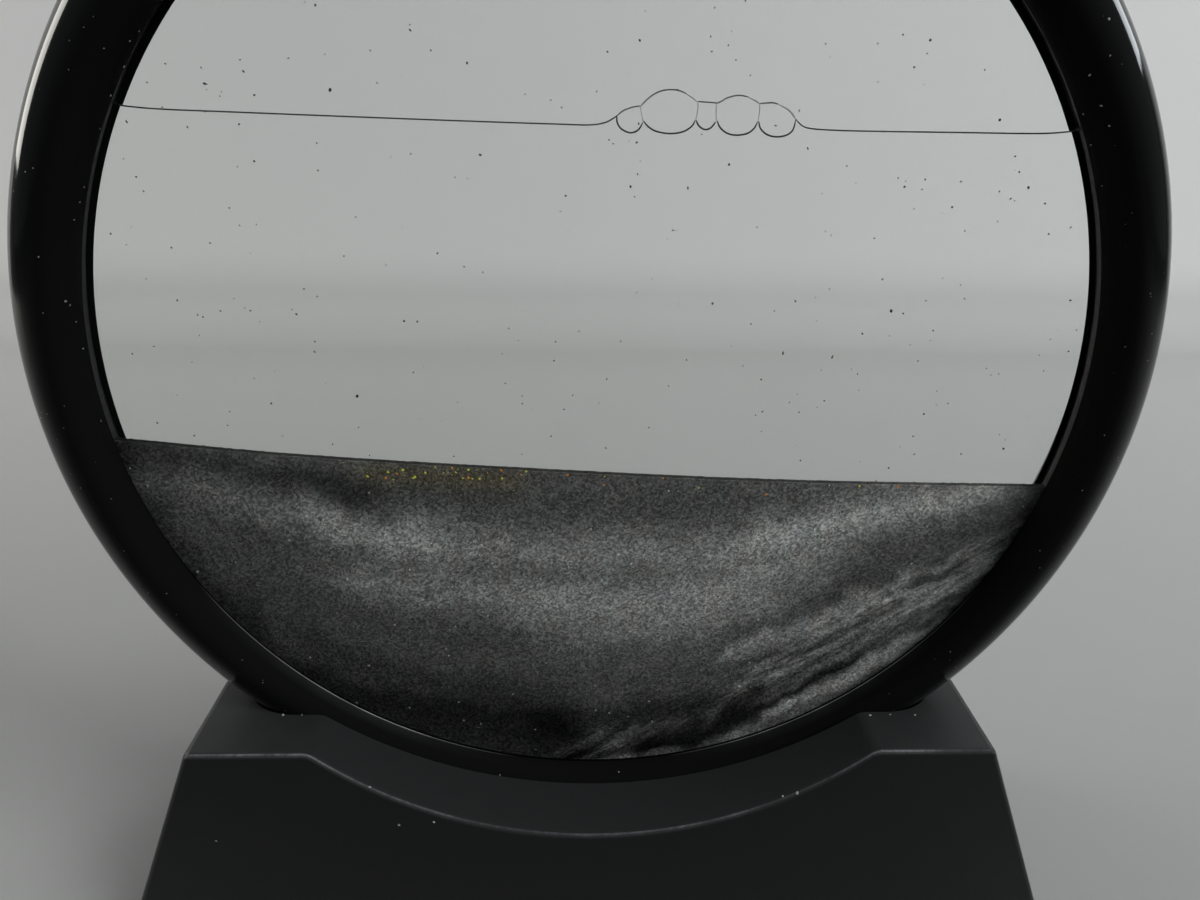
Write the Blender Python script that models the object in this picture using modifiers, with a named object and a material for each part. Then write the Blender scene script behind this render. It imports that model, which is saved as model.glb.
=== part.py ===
"""Moving sand picture: a flat glass cell of liquid and sand in a round frame that stands in a slotted base.

The frame turns about its own axis in the slot and lifts out of it. Lengths below are in millimetres.
The origin is on the table under the middle of the base, the front faces -Y and +Z is up.
"""

import math

import bmesh
import bpy
from mathutils import Matrix, Vector

MM = 0.001

# Frame and cell, from the window outwards
REAR_WINDOW_RADIUS = 79.0
FRONT_LIP_REACH = 0.65  # the front lip covers this much more of the glass than the rear one
LIP_EDGE = 0.6  # thickness of the front lip at the window
REAR_LIP_EDGE = 0.15
REAR_FLARE = 0.7  # the rear lip opens by this much for each millimetre of depth, so as not to narrow the view
GLASS_OVERLAP = 3.0  # of the glass under the rear lip
GLASS_THICKNESS = 1.8
GLASS_CHAMFER = 0.3
CELL_GAP = 1.8  # between the two glass discs
GASKET_INSET = 0.9  # from the edge of the rear window to the gasket's groove
GASKET_WIDTH = 1.2
GASKET_THICKNESS = 0.6
SPACER_INSET = 0.6  # from the edge of the rear window to the spacer
SPACER_WIDTH = 1.3
RIM_WALL = 7.0  # from the edge of the glass to the outside of the rim
FRAME_HALF_DEPTH = 8.0
RIM_ROUNDING = 7.0  # radial reach of the rounding from the crest to the rim
CHANNEL_WALL = 1.6  # plastic between the glass pocket and the hollow channel
CHANNEL_WIDTH = 2.4
CHANNEL_DEPTH = 4.5
PORT_RADIUS = 2.6
PORT_CAP_ROUNDING = 0.3
PLUG_WIDTH = 8.0
CLEARANCE = 0.3  # gap between neighbouring pieces

# Base
RING_LIFT = 17.0  # lowest point of the frame above the table
FLATS_HEIGHT = 44.73  # of the base's flat shoulders above the table
DIP_HEIGHT = 27.2  # lowest point of the round dip above the table
SLOT_END_MARGIN = 5.88  # on a flat shoulder, from the end of the slot to the end of the base
TOP_HALF_DEPTH = 18.07
SIDE_SLOPE = 0.386  # widening for each millimetre down
FACE_SLOPE = 0.12
SHOULDER_RADIUS = 3.5
EDGE_RADIUS = 1.2
BASE_WALL = 2.5
RIM_HEIGHT = 1.0  # lower edge of the shell above the table
COVER_RECESS = 1.5  # from the shell's lower edge up to the cover
COVER_THICKNESS = 2.0
FOOT_RADIUS = 6.0
FOOT_MARGIN = 1.6  # from a foot to the edge of the cover
FOOT_SOCKET = 0.8  # depth of the foot's socket in the cover
FOOT_ROUNDING = 0.4
BOSS_RADIUS = 3.6
BOSS_FROM_FOOT = 17.8  # along the base, from a foot's middle to a screw's
BOSS_FROM_WALL = 6.4  # across the base, from the inside of the wall to a screw's middle
SCREW_RADIUS = 1.25
SCREW_LENGTH = 11.0
SCREW_POINT = 1.5
SCREW_HEAD_RADIUS = 2.5
SCREW_HEAD_HEIGHT = 1.2
SCREW_HEAD_EDGE = 0.5
RECESS_ARM = 1.5
RECESS_HALF_WIDTH = 0.35
RECESS_DEPTH = 0.7
PILOT_ROOM = 0.8  # past the end of a screw

# Liquid: heights above the ring's axis, and places to the right of it
LIQUID_LEVEL = 39.3  # at the left of the bubbles
LIQUID_DROP = 0.25  # of the level from the left of the bubbles to the right
LIQUID_TILT = -0.021  # the pinned surface climbs a little towards the left
MENISCUS_RISE = 2.4
MENISCUS_LENGTH = 2.2
BUBBLE_CLIMB = 0.9  # of the liquid against the first and last bubble
BUBBLE_FILM = 0.3
BUBBLES = (  # place, rise above the level, half width, half height
    (3.70, 0.77, 1.82, 1.72),
    (9.31, 1.83, 3.68, 2.82),
    (14.45, 1.41, 1.37, 1.79),
    (18.78, 1.53, 2.89, 2.59),
    (24.44, 1.01, 2.63, 2.23),
)

# Sand: stations of the drift's smooth curves, as shares of the filling's radius
SAND_CREST = ((-0.98, -0.121), (-0.619, -0.157), (-0.015, -0.194), (0.436, -0.213), (0.98, -0.221))
CREST_FOOT = ((-0.984, -0.150), (-0.733, -0.213), (-0.527, -0.247), (0.008, -0.293), (0.552, -0.256), (0.98, -0.240))
SWEEP_FOOT = (
    (-0.971, -0.259),
    (-0.866, -0.370),
    (-0.445, -0.528),
    (0.013, -0.599),
    (0.243, -0.542),
    (0.675, -0.329),
    (0.965, -0.260),
)
TOE_TOP = ((-0.101, -0.999), (0.144, -0.938), (0.385, -0.811), (0.612, -0.658), (0.816, -0.474), (0.958, -0.322))
GLITTER_FROM = -38.0
GLITTER_TO = 34.0
GLITTER_THICKNESS = 1.5
END_ROOM = 2.5  # of the dip in the dark crest past each end of the glitter
LAYER_GAP = 0.4

RING_STEPS = 72
CUT_PAST = 2.0  # a cutter runs this far past what it cuts
FACE_FRONT = math.pi / 2  # turn about X that brings local +Z to the front
FACE_REAR = -math.pi / 2

# Places that follow from the sizes above
FRONT_WINDOW_RADIUS = REAR_WINDOW_RADIUS - FRONT_LIP_REACH
GLASS_RADIUS = REAR_WINDOW_RADIUS + GLASS_OVERLAP
RING_RADIUS = GLASS_RADIUS + RIM_WALL
CREST_RADIUS = RING_RADIUS - RIM_ROUNDING
LIP_FACE = CELL_GAP / 2 + GLASS_THICKNESS + CLEARANCE
LIP_CORNER = LIP_FACE + LIP_EDGE
REAR_CORNER = LIP_FACE + REAR_LIP_EDGE
POCKET_RADIUS = GLASS_RADIUS + CLEARANCE
SEAM = CLEARANCE / 2
SPACER_RADIUS = REAR_WINDOW_RADIUS + SPACER_INSET
SEAL_RADIUS = SPACER_RADIUS + SPACER_WIDTH + CLEARANCE
FILLING_RADIUS = SPACER_RADIUS - CLEARANCE
FILLING_HALF = CELL_GAP / 2 - CLEARANCE
GASKET_RADIUS = REAR_WINDOW_RADIUS + GASKET_INSET + CLEARANCE
AXIS_HEIGHT = RING_LIFT + RING_RADIUS
DIP_RADIUS = AXIS_HEIGHT - DIP_HEIGHT
SLOT_HALF_LENGTH = math.sqrt((RING_RADIUS + CLEARANCE) ** 2 - (AXIS_HEIGHT - FLATS_HEIGHT) ** 2)
TOP_HALF_WIDTH = SLOT_HALF_LENGTH + SLOT_END_MARGIN
COVER_HEIGHT = RIM_HEIGHT + COVER_RECESS
COVER_TOP = COVER_HEIGHT + COVER_THICKNESS
BOSS_FOOT = COVER_TOP + CLEARANCE


def start_scene():
    """Empties the scene and returns the collections for the parts and for the cutters."""
    for obj in list(bpy.data.objects):
        bpy.data.objects.remove(obj, do_unlink=True)
    parts = bpy.data.collections.new("moving_sand_picture")
    cutters = bpy.data.collections.new("cutters")
    for collection in (parts, cutters):
        bpy.context.scene.collection.children.link(collection)
    return parts, cutters


PARTS, CUTTERS = start_scene()


def make_material(name, color, roughness, metallic=0.0, transmission=0.0):
    material = bpy.data.materials.new(name)
    material.use_nodes = True
    shader = material.node_tree.nodes["Principled BSDF"]
    shader.inputs["Base Color"].default_value = (*color, 1.0)
    shader.inputs["Roughness"].default_value = roughness
    shader.inputs["Metallic"].default_value = metallic
    shader.inputs["Transmission Weight"].default_value = transmission
    material.diffuse_color = (*color, 1.0)
    return material


GLOSS_BLACK = make_material("gloss_black_plastic", (0.011, 0.012, 0.012), 0.18)
SATIN_BLACK = make_material("satin_black_plastic", (0.016, 0.017, 0.017), 0.45)
COVER_BLACK = make_material("cover_plastic", (0.02, 0.02, 0.021), 0.6)
GLASS = make_material("clear_glass", (0.95, 0.97, 0.96), 0.02, transmission=1.0)
SPACER_BLACK = make_material("spacer_plastic", (0.012, 0.012, 0.012), 0.5)
SEALANT = make_material("sealant", (0.03, 0.03, 0.03), 0.55)
FOAM = make_material("gasket_foam", (0.025, 0.025, 0.025), 0.9)
RUBBER = make_material("black_rubber", (0.02, 0.02, 0.02), 0.8)
STEEL = make_material("screw_steel", (0.55, 0.55, 0.56), 0.35, metallic=1.0)
LIQUID = make_material("clear_liquid", (0.95, 0.97, 0.97), 0.0, transmission=1.0)
DARK_SAND = make_material("dark_sand", (0.022, 0.024, 0.024), 0.85)
GREY_SAND = make_material("grey_sand", (0.09, 0.092, 0.092), 0.85)
PALE_SAND = make_material("pale_sand", (0.19, 0.19, 0.185), 0.85)
GLITTER_SAND = make_material("glitter_sand", (0.35, 0.22, 0.06), 0.45, metallic=0.6)


def add_object(name, mesh, material, collection=PARTS, parent=None, rotation_x=0.0):
    """Links a mesh as an object. A child of an empty sits at the empty's place."""
    obj = bpy.data.objects.new(name, mesh)
    if material:
        mesh.materials.clear()
        mesh.materials.append(material)
    obj.rotation_euler.x = rotation_x
    obj.parent = parent
    collection.objects.link(obj)
    if collection is CUTTERS:
        obj.hide_render = True
        obj.display_type = "WIRE"
    return obj


def add_empty(name, height):
    empty = bpy.data.objects.new(name, None)
    empty.location.z = height * MM
    PARTS.objects.link(empty)
    return empty


def shade_smooth(mesh, angle=35.0):
    mesh.shade_smooth()
    mesh.set_sharp_from_angle(angle=math.radians(angle))


def mesh_from(bm, name):
    bmesh.ops.recalc_face_normals(bm, faces=bm.faces)
    mesh = bpy.data.meshes.new(name)
    bm.to_mesh(mesh)
    bm.free()
    shade_smooth(mesh)
    return mesh


def cylinder_mesh(name, radius, low, high, segments=32, center=(0.0, 0.0), half_widths=None):
    """An upright cylinder or, with half_widths, an elliptical one."""
    bm = bmesh.new()
    bmesh.ops.create_cone(
        bm,
        cap_ends=True,
        segments=segments,
        radius1=radius * MM,
        radius2=radius * MM,
        depth=(high - low) * MM,
    )
    if half_widths:
        bmesh.ops.scale(bm, vec=(half_widths[0] / radius, half_widths[1] / radius, 1.0), verts=bm.verts)
    bmesh.ops.translate(bm, vec=Vector((center[0], center[1], (low + high) / 2)) * MM, verts=bm.verts)
    return mesh_from(bm, name)


def box_mesh(name, low, high):
    bm = bmesh.new()
    bmesh.ops.create_cube(bm, size=1.0)
    size = (Vector(high) - Vector(low)) * MM
    middle = (Vector(high) + Vector(low)) * MM / 2
    bmesh.ops.transform(bm, matrix=Matrix.Translation(middle) @ Matrix.Diagonal((*size, 1.0)), verts=bm.verts)
    return mesh_from(bm, name)


def profile_mesh(name, points, closed=True):
    """A turning profile of edges, in the XZ plane. Its outer side runs down."""
    mesh = bpy.data.meshes.new(name)
    count = len(points)
    edges = [(i, (i + 1) % count) for i in range(count if closed else count - 1)]
    mesh.from_pydata([(r * MM, 0.0, h * MM) for r, h in points], edges, [])
    return mesh


def add_turned(name, points, material, closed=True, steps=RING_STEPS, **place):
    """A solid turned about its local Z axis."""
    obj = add_object(name, profile_mesh(name, points, closed), material, **place)
    screw = obj.modifiers.new("Turn", "SCREW")
    screw.steps = steps
    screw.render_steps = steps
    screw.use_merge_vertices = True
    screw.merge_threshold = 0.00001
    screw.use_smooth_shade = True
    return obj


def outline_mesh(name, outline, half_thickness):
    """A closed outline in the XY plane as a welded plate, evenly about Z = 0."""
    curve = bpy.data.curves.new(name, "CURVE")
    curve.dimensions = "2D"
    curve.fill_mode = "BOTH"
    curve.extrude = half_thickness * MM
    spline = curve.splines.new("POLY")
    spline.points.add(len(outline) - 1)
    for point, (x, z) in zip(spline.points, outline):
        point.co = (x * MM, z * MM, 0.0, 1.0)
    spline.use_cyclic_u = True
    guide = bpy.data.objects.new(name, curve)
    bpy.context.scene.collection.objects.link(guide)
    graph = bpy.context.evaluated_depsgraph_get()
    mesh = bpy.data.meshes.new_from_object(guide.evaluated_get(graph))
    bpy.data.objects.remove(guide, do_unlink=True)
    bpy.data.curves.remove(curve)
    bm = bmesh.new()
    bm.from_mesh(mesh)
    bpy.data.meshes.remove(mesh)
    bmesh.ops.remove_doubles(bm, verts=bm.verts, dist=0.000001)
    bmesh.ops.dissolve_limit(bm, angle_limit=math.radians(0.05), verts=bm.verts, edges=bm.edges)
    return mesh_from(bm, name)


def add_boolean(obj, cutter, operation="DIFFERENCE"):
    modifier = obj.modifiers.new(cutter.name, "BOOLEAN")
    modifier.operation = operation
    modifier.object = cutter
    return modifier


def add_bevel(obj, width, segments=1, angle=30.0):
    modifier = obj.modifiers.new("Rounding", "BEVEL")
    modifier.width = width * MM
    modifier.segments = segments
    modifier.limit_method = "ANGLE"
    modifier.angle_limit = math.radians(angle)


def arc(center, radius, start, end, steps):
    """Points on an arc from start to end, in degrees, both ends included."""
    angles = [math.radians(start + (end - start) * i / steps) for i in range(steps + 1)]
    return [(center[0] + radius * math.cos(a), center[1] + radius * math.sin(a)) for a in angles]


def quarter(center, reach, rise, start, end, steps):
    """The same on an ellipse with the half axes reach and rise."""
    return [
        (center[0] + (x - center[0]) * reach, center[1] + (z - center[1]) * rise)
        for x, z in arc(center, 1.0, start, end, steps)
    ]


def smooth_height(stations, x):
    """Height of the smooth curve through the stations (x, z) at x."""
    last = len(stations) - 2
    i = 0
    while i < last and x > stations[i + 1][0]:
        i += 1
    slopes = []
    for k in (i, i + 1):
        before = stations[max(k - 1, 0)]
        after = stations[min(k + 1, len(stations) - 1)]
        slopes.append((after[1] - before[1]) / (after[0] - before[0]))
    (x0, z0), (x1, z1) = stations[i], stations[i + 1]
    t = (x - x0) / (x1 - x0)
    if t < 0.0 or t > 1.0:
        end = 0 if t < 0.0 else 1
        return (z0, z1)[end] + slopes[end] * (x - (x0, x1)[end])
    run = x1 - x0
    return (
        (2 * t**3 - 3 * t**2 + 1) * z0
        + (t**3 - 2 * t**2 + t) * slopes[0] * run
        + (3 * t**2 - 2 * t**3) * z1
        + (t**3 - t**2) * slopes[1] * run
    )


def wall_crossing(height, inside, side, radius):
    """The x at which a curve meets the round wall of the cell, found by halving from a point inside."""
    outside = side * radius
    for _ in range(40):
        middle = (inside + outside) / 2
        if middle**2 + height(middle) ** 2 < radius**2:
            inside = middle
        else:
            outside = middle
    return inside


def curve_points(height, start, end, steps):
    return [
        (start + (end - start) * i / steps, height(start + (end - start) * i / steps)) for i in range(steps + 1)
    ]


def wall_arc(start, end, radius, step=6.0):
    """Points along the cell's wall, clockwise, between two points on it, both left out."""
    a = math.degrees(math.atan2(start[1], start[0]))
    b = math.degrees(math.atan2(end[1], end[0]))
    while b > a:
        b -= 360.0
    steps = max(1, round((a - b) / step))
    return arc((0.0, 0.0), radius, a, b, steps)[1:-1]


class Drift:
    """The smooth height curve of a layer of sand, which can be shifted up or down."""

    def __init__(self, stations, shift=0.0):
        self.stations = [(x * FILLING_RADIUS, z * FILLING_RADIUS) for x, z in stations]
        self.shift = shift
        self.middle = (self.stations[0][0] + self.stations[-1][0]) / 2

    def __call__(self, x):
        return smooth_height(self.stations, x) + self.shift


def ends_at_wall(height):
    """Where a curve meets the round wall of the cell, at its left and its right."""
    inside = getattr(height, "middle", 0.0)
    return [wall_crossing(height, inside, side, FILLING_RADIUS) for side in (-1, 1)]


def band_outline(upper, lower=None, steps=28):
    """Outline of what lies in the round cell below one curve and, where it is given, above another."""
    start, end = ends_at_wall(upper)
    outline = curve_points(upper, start, end, steps)
    if lower is None:
        return outline + wall_arc(outline[-1], outline[0], FILLING_RADIUS)
    start, end = ends_at_wall(lower)
    foot = curve_points(lower, end, start, steps)
    right = wall_arc(outline[-1], foot[0], FILLING_RADIUS)
    left = wall_arc(foot[-1], outline[0], FILLING_RADIUS)
    return outline + right + foot + left


def round_lip():
    """Inner side of the front half, rounded from the window to the crest."""
    reach = CREST_RADIUS - FRONT_WINDOW_RADIUS
    return quarter((CREST_RADIUS, LIP_CORNER), reach, FRAME_HALF_DEPTH - LIP_CORNER, 180.0, 90.0, 4)


def flared_lip():
    """Inner side of the rear half, opening straight from the window to the crest."""
    crest = REAR_WINDOW_RADIUS + REAR_FLARE * (FRAME_HALF_DEPTH - REAR_CORNER)
    turn = math.acos((crest - CREST_RADIUS) / RIM_ROUNDING)
    return [(REAR_WINDOW_RADIUS, REAR_CORNER), (crest, FRAME_HALF_DEPTH * math.sin(turn))]


def frame_profile(lip):
    """Section of one half of the frame: lip, rim, seam, channel, pocket and gasket groove."""
    channel_in = POCKET_RADIUS + CHANNEL_WALL
    channel_out = channel_in + CHANNEL_WIDTH
    groove_in = GASKET_RADIUS - CLEARANCE
    groove_out = GASKET_RADIUS + GASKET_WIDTH + CLEARANCE
    groove_floor = LIP_FACE + GASKET_THICKNESS + CLEARANCE
    seam_angle = math.degrees(math.asin(SEAM / FRAME_HALF_DEPTH))
    return [
        *lip,
        *quarter((CREST_RADIUS, 0.0), RIM_ROUNDING, FRAME_HALF_DEPTH, 90.0, seam_angle, 6)[1:],
        (channel_out, SEAM),
        (channel_out, CHANNEL_DEPTH),
        (channel_in, CHANNEL_DEPTH),
        (channel_in, SEAM),
        (POCKET_RADIUS, SEAM),
        (POCKET_RADIUS, LIP_FACE),
        (groove_out, LIP_FACE),
        (groove_out, groove_floor),
        (groove_in, groove_floor),
        (groove_in, LIP_FACE),
        (lip[0][0], LIP_FACE),
    ]


def ring_profile(inner, outer, low, high):
    """Square section of a flat ring."""
    return [(inner, high), (outer, high), (outer, low), (inner, low)]


def slot_profile(growth):
    """Half section of the disc that the frame needs in the base, grown by a clearance or a wall."""
    half = FRAME_HALF_DEPTH + growth
    reach = RIM_ROUNDING + growth
    rounding = quarter((CREST_RADIUS, 0.0), reach, half, 90.0, -90.0, 10)
    return [(0.0, half), *rounding, (0.0, -half)]


def build_frame(axis):
    """The two halves of the round frame, and the cap of the filling port in its rim."""
    port = add_object(
        "port_cutter",
        cylinder_mesh("port_cutter", PORT_RADIUS + CLEARANCE, GLASS_RADIUS, RING_RADIUS + CUT_PAST),
        None,
        collection=CUTTERS,
        parent=axis,
    )
    for name, lip, facing in (
        ("front_frame", round_lip(), FACE_FRONT),
        ("rear_frame", flared_lip(), FACE_REAR),
    ):
        half = add_turned(name, frame_profile(lip), GLOSS_BLACK, parent=axis, rotation_x=facing)
        add_boolean(half, port)
    low = POCKET_RADIUS + CLEARANCE
    cap = cylinder_mesh("port_cap", PORT_RADIUS, low, RING_RADIUS - CLEARANCE, segments=24)
    cap_object = add_object("port_cap", cap, RUBBER, parent=axis)
    add_bevel(cap_object, PORT_CAP_ROUNDING, segments=2)


def build_cell(axis):
    """Two glass discs on a spacer, sealed round the edge, with the plug that a filling needle goes through."""
    glass_near = CELL_GAP / 2
    for name, side in (("front_glass", -1), ("rear_glass", 1)):
        low = glass_near if side > 0 else -glass_near - GLASS_THICKNESS
        mesh = cylinder_mesh(name, GLASS_RADIUS, low, low + GLASS_THICKNESS, segments=RING_STEPS)
        disc = add_object(name, mesh, GLASS, parent=axis, rotation_x=FACE_REAR)
        add_bevel(disc, GLASS_CHAMFER)
    for name, side in (("front_gasket", FACE_FRONT), ("rear_gasket", FACE_REAR)):
        section = ring_profile(GASKET_RADIUS, GASKET_RADIUS + GASKET_WIDTH, LIP_FACE, LIP_FACE + GASKET_THICKNESS)
        add_turned(name, section, FOAM, parent=axis, rotation_x=side)
    notch = add_object(
        "plug_notch_cutter",
        box_mesh(
            "plug_notch_cutter",
            (-PLUG_WIDTH / 2 - CLEARANCE, -CELL_GAP, SPACER_RADIUS - CUT_PAST),
            (PLUG_WIDTH / 2 + CLEARANCE, CELL_GAP, GLASS_RADIUS + CUT_PAST),
        ),
        None,
        collection=CUTTERS,
        parent=axis,
    )
    for name, inner, outer, material in (
        ("spacer_ring", SPACER_RADIUS, SPACER_RADIUS + SPACER_WIDTH, SPACER_BLACK),
        ("edge_seal", SEAL_RADIUS, GLASS_RADIUS, SEALANT),
    ):
        section = ring_profile(inner, outer, -FILLING_HALF, FILLING_HALF)
        ring = add_turned(name, section, material, parent=axis, rotation_x=FACE_FRONT)
        add_boolean(ring, notch)
    plug = box_mesh(
        "fill_plug",
        (-PLUG_WIDTH / 2, -FILLING_HALF, SPACER_RADIUS),
        (PLUG_WIDTH / 2, FILLING_HALF, GLASS_RADIUS),
    )
    add_object("fill_plug", plug, RUBBER, parent=axis)


def glitter_depth(x):
    """Thickness of the glitter at x, running out a little past its two ends."""
    half = (GLITTER_TO - GLITTER_FROM) / 2
    share = min(abs(x - GLITTER_FROM - half) / half, 1.0)
    return GLITTER_THICKNESS * (1.0 - 0.7 * share**2)


def crest_top(x):
    """The dark crest's own top, which dips to make room for the glitter."""
    beyond = max(GLITTER_FROM - x, x - GLITTER_TO, 0.0)
    room = min(max(1.0 - (beyond - END_ROOM) / END_ROOM, 0.0), 1.0)
    return Drift(SAND_CREST)(x) - room * (glitter_depth(x) + LAYER_GAP)


def liquid_top(x):
    """The free surface: pinned at the wall and at the outer bubbles, where it climbs."""
    left_end = BUBBLES[0][0] - BUBBLES[0][2]
    right_end = BUBBLES[-1][0] + BUBBLES[-1][2]
    if x < (left_end + right_end) / 2:
        height = LIQUID_LEVEL + LIQUID_TILT * min(x - left_end, 0.0)
        away = max(left_end - x, 0.0)
    else:
        height = LIQUID_LEVEL - LIQUID_DROP
        away = max(x - right_end, 0.0)
    to_wall = max(math.sqrt(FILLING_RADIUS**2 - height**2) - abs(x), 0.0)
    climb = BUBBLE_CLIMB * math.exp(-away / MENISCUS_LENGTH)
    return height + climb + MENISCUS_RISE * math.exp(-to_wall / MENISCUS_LENGTH)


def build_liquid(axis):
    """The clear liquid, from the sand up to its free surface, with the row of bubbles blown in it."""
    outline = band_outline(liquid_top, Drift(SAND_CREST, LAYER_GAP), steps=72)
    mesh = outline_mesh("liquid", outline, FILLING_HALF)
    liquid = add_object("liquid", mesh, LIQUID, parent=axis, rotation_x=FACE_FRONT)
    for share, operation in ((2 / 3, "UNION"), (-1 / 3, "DIFFERENCE")):
        for number, (x, rise, half_width, half_height) in enumerate(BUBBLES, 1):
            name = f"bubble_{number}_{operation.lower()}"
            reach = FILLING_HALF if operation == "UNION" else CELL_GAP
            sizes = (half_width + share * BUBBLE_FILM, half_height + share * BUBBLE_FILM)
            center = (x, LIQUID_LEVEL + rise)
            mesh = cylinder_mesh(name, 1.0, -reach, reach, segments=24, center=center, half_widths=sizes)
            cutter = add_object(name, mesh, None, collection=CUTTERS, parent=axis, rotation_x=FACE_FRONT)
            add_boolean(liquid, cutter, operation)


def build_sand(axis):
    """The settled sand, from the glitter on its crest down to the pale toe along the wall."""
    top = Drift(SAND_CREST)
    glitter = curve_points(top, GLITTER_FROM, GLITTER_TO, 20)
    glitter += curve_points(lambda x: top(x) - glitter_depth(x), GLITTER_TO, GLITTER_FROM, 20)
    half = LAYER_GAP / 2
    crest = band_outline(crest_top, Drift(CREST_FOOT, half), steps=48)
    sweep = band_outline(Drift(CREST_FOOT, -half), Drift(SWEEP_FOOT, half))
    bed = band_outline(Drift(SWEEP_FOOT, -half), Drift(TOE_TOP, half))
    toe = band_outline(Drift(TOE_TOP, -half))
    for name, outline, material in (
        ("glitter_layer", glitter, GLITTER_SAND),
        ("dark_crest_layer", crest, DARK_SAND),
        ("grey_sweep_layer", sweep, GREY_SAND),
        ("dark_bed_layer", bed, DARK_SAND),
        ("pale_toe_layer", toe, PALE_SAND),
    ):
        add_object(name, outline_mesh(name, outline, FILLING_HALF), material, parent=axis, rotation_x=FACE_FRONT)


def half_width(height, inset=0.0):
    """Half the width of the base at a height, drawn in by a wall."""
    return TOP_HALF_WIDTH + (FLATS_HEIGHT - height) * SIDE_SLOPE - inset * math.hypot(1.0, SIDE_SLOPE)


def half_depth(height, inset=0.0):
    """Half the depth of the base at a height, drawn in by a wall."""
    return TOP_HALF_DEPTH + (FLATS_HEIGHT - height) * FACE_SLOPE - inset * math.hypot(1.0, FACE_SLOPE)


def base_outline(inset, bottom):
    """Front view of the base, drawn in by a wall: slanted ends, flat shoulders and the round dip."""
    top = FLATS_HEIGHT - inset
    shoulder = max(SHOULDER_RADIUS - inset, 0.5)
    dip = DIP_RADIUS + inset
    drop = AXIS_HEIGHT - top + shoulder
    shoulder_x = math.sqrt((dip + shoulder) ** 2 - drop**2)
    tangent = math.degrees(math.atan2(-drop, shoulder_x))

    right = [
        *arc((0.0, AXIS_HEIGHT), dip, -90.0, tangent, 8)[1:],
        *arc((shoulder_x, top - shoulder), shoulder, tangent + 180.0, 90.0, 4)[1:],
        (half_width(top, inset), top),
        (half_width(bottom, inset), bottom),
    ]
    left = [(-x, z) for x, z in reversed(right)]
    return [*left, (0.0, AXIS_HEIGHT - dip), *right]


def tapered_mesh(name, outline, inset):
    """The outline as a block whose front and rear faces lean outwards towards the table."""
    mesh = outline_mesh(name, outline, 1.0)
    for vertex in mesh.vertices:
        side = math.copysign(1.0, vertex.co.z)
        vertex.co.z = side * half_depth(vertex.co.y / MM, inset) * MM
    return mesh


def corners(x, y):
    return [(side_x * x, side_y * y) for side_y in (-1, 1) for side_x in (-1, 1)]


COVER_HALF_X = half_width(COVER_TOP, BASE_WALL) - CLEARANCE
COVER_HALF_Y = half_depth(COVER_TOP, BASE_WALL) - CLEARANCE
FOOT_X = COVER_HALF_X - FOOT_MARGIN - FOOT_RADIUS
FOOT_PLACES = corners(FOOT_X, COVER_HALF_Y - FOOT_MARGIN - FOOT_RADIUS)
SCREW_PLACES = corners(FOOT_X - BOSS_FROM_FOOT, half_depth(COVER_TOP, BASE_WALL) - BOSS_FROM_WALL)


def add_pins(name, radius, low, high, places, segments):
    """One upright cutter for each place."""
    pins = []
    for number, place in enumerate(places, 1):
        label = f"{name}_{number}"
        mesh = cylinder_mesh(label, radius, low, high, segments=segments, center=place)
        pins.append(add_object(label, mesh, None, collection=CUTTERS))
    return pins


def build_base_shell():
    """The moulded shell: hollow from below, with a slot that follows the frame's rim and four screw bosses."""
    cavity = add_object(
        "cavity_cutter",
        tapered_mesh("cavity_cutter", base_outline(BASE_WALL, RIM_HEIGHT - CUT_PAST), BASE_WALL),
        None,
        collection=CUTTERS,
        rotation_x=FACE_FRONT,
    )
    slot_axis = add_empty("slot_axis", AXIS_HEIGHT)
    wall = add_turned(
        "slot_wall_cutter",
        slot_profile(CLEARANCE + BASE_WALL),
        None,
        closed=False,
        collection=CUTTERS,
        parent=slot_axis,
        rotation_x=FACE_FRONT,
    )
    add_boolean(cavity, wall)
    for boss in add_pins("boss_keeper", BOSS_RADIUS, BOSS_FOOT, FLATS_HEIGHT + CUT_PAST, SCREW_PLACES, 20):
        add_boolean(cavity, boss)
    slot = add_turned(
        "slot_cutter",
        slot_profile(CLEARANCE),
        None,
        closed=False,
        collection=CUTTERS,
        parent=slot_axis,
        rotation_x=FACE_FRONT,
    )
    shell = add_object(
        "base_shell",
        tapered_mesh("base_shell", base_outline(0.0, RIM_HEIGHT), 0.0),
        SATIN_BLACK,
        rotation_x=FACE_FRONT,
    )
    add_bevel(shell, EDGE_RADIUS, segments=2)
    add_boolean(shell, cavity)
    add_boolean(shell, slot)
    pilot_top = COVER_HEIGHT - CLEARANCE + SCREW_LENGTH + PILOT_ROOM
    for hole in add_pins("pilot_cutter", SCREW_RADIUS + CLEARANCE, 0.0, pilot_top, SCREW_PLACES, 16):
        add_boolean(shell, hole)


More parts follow.
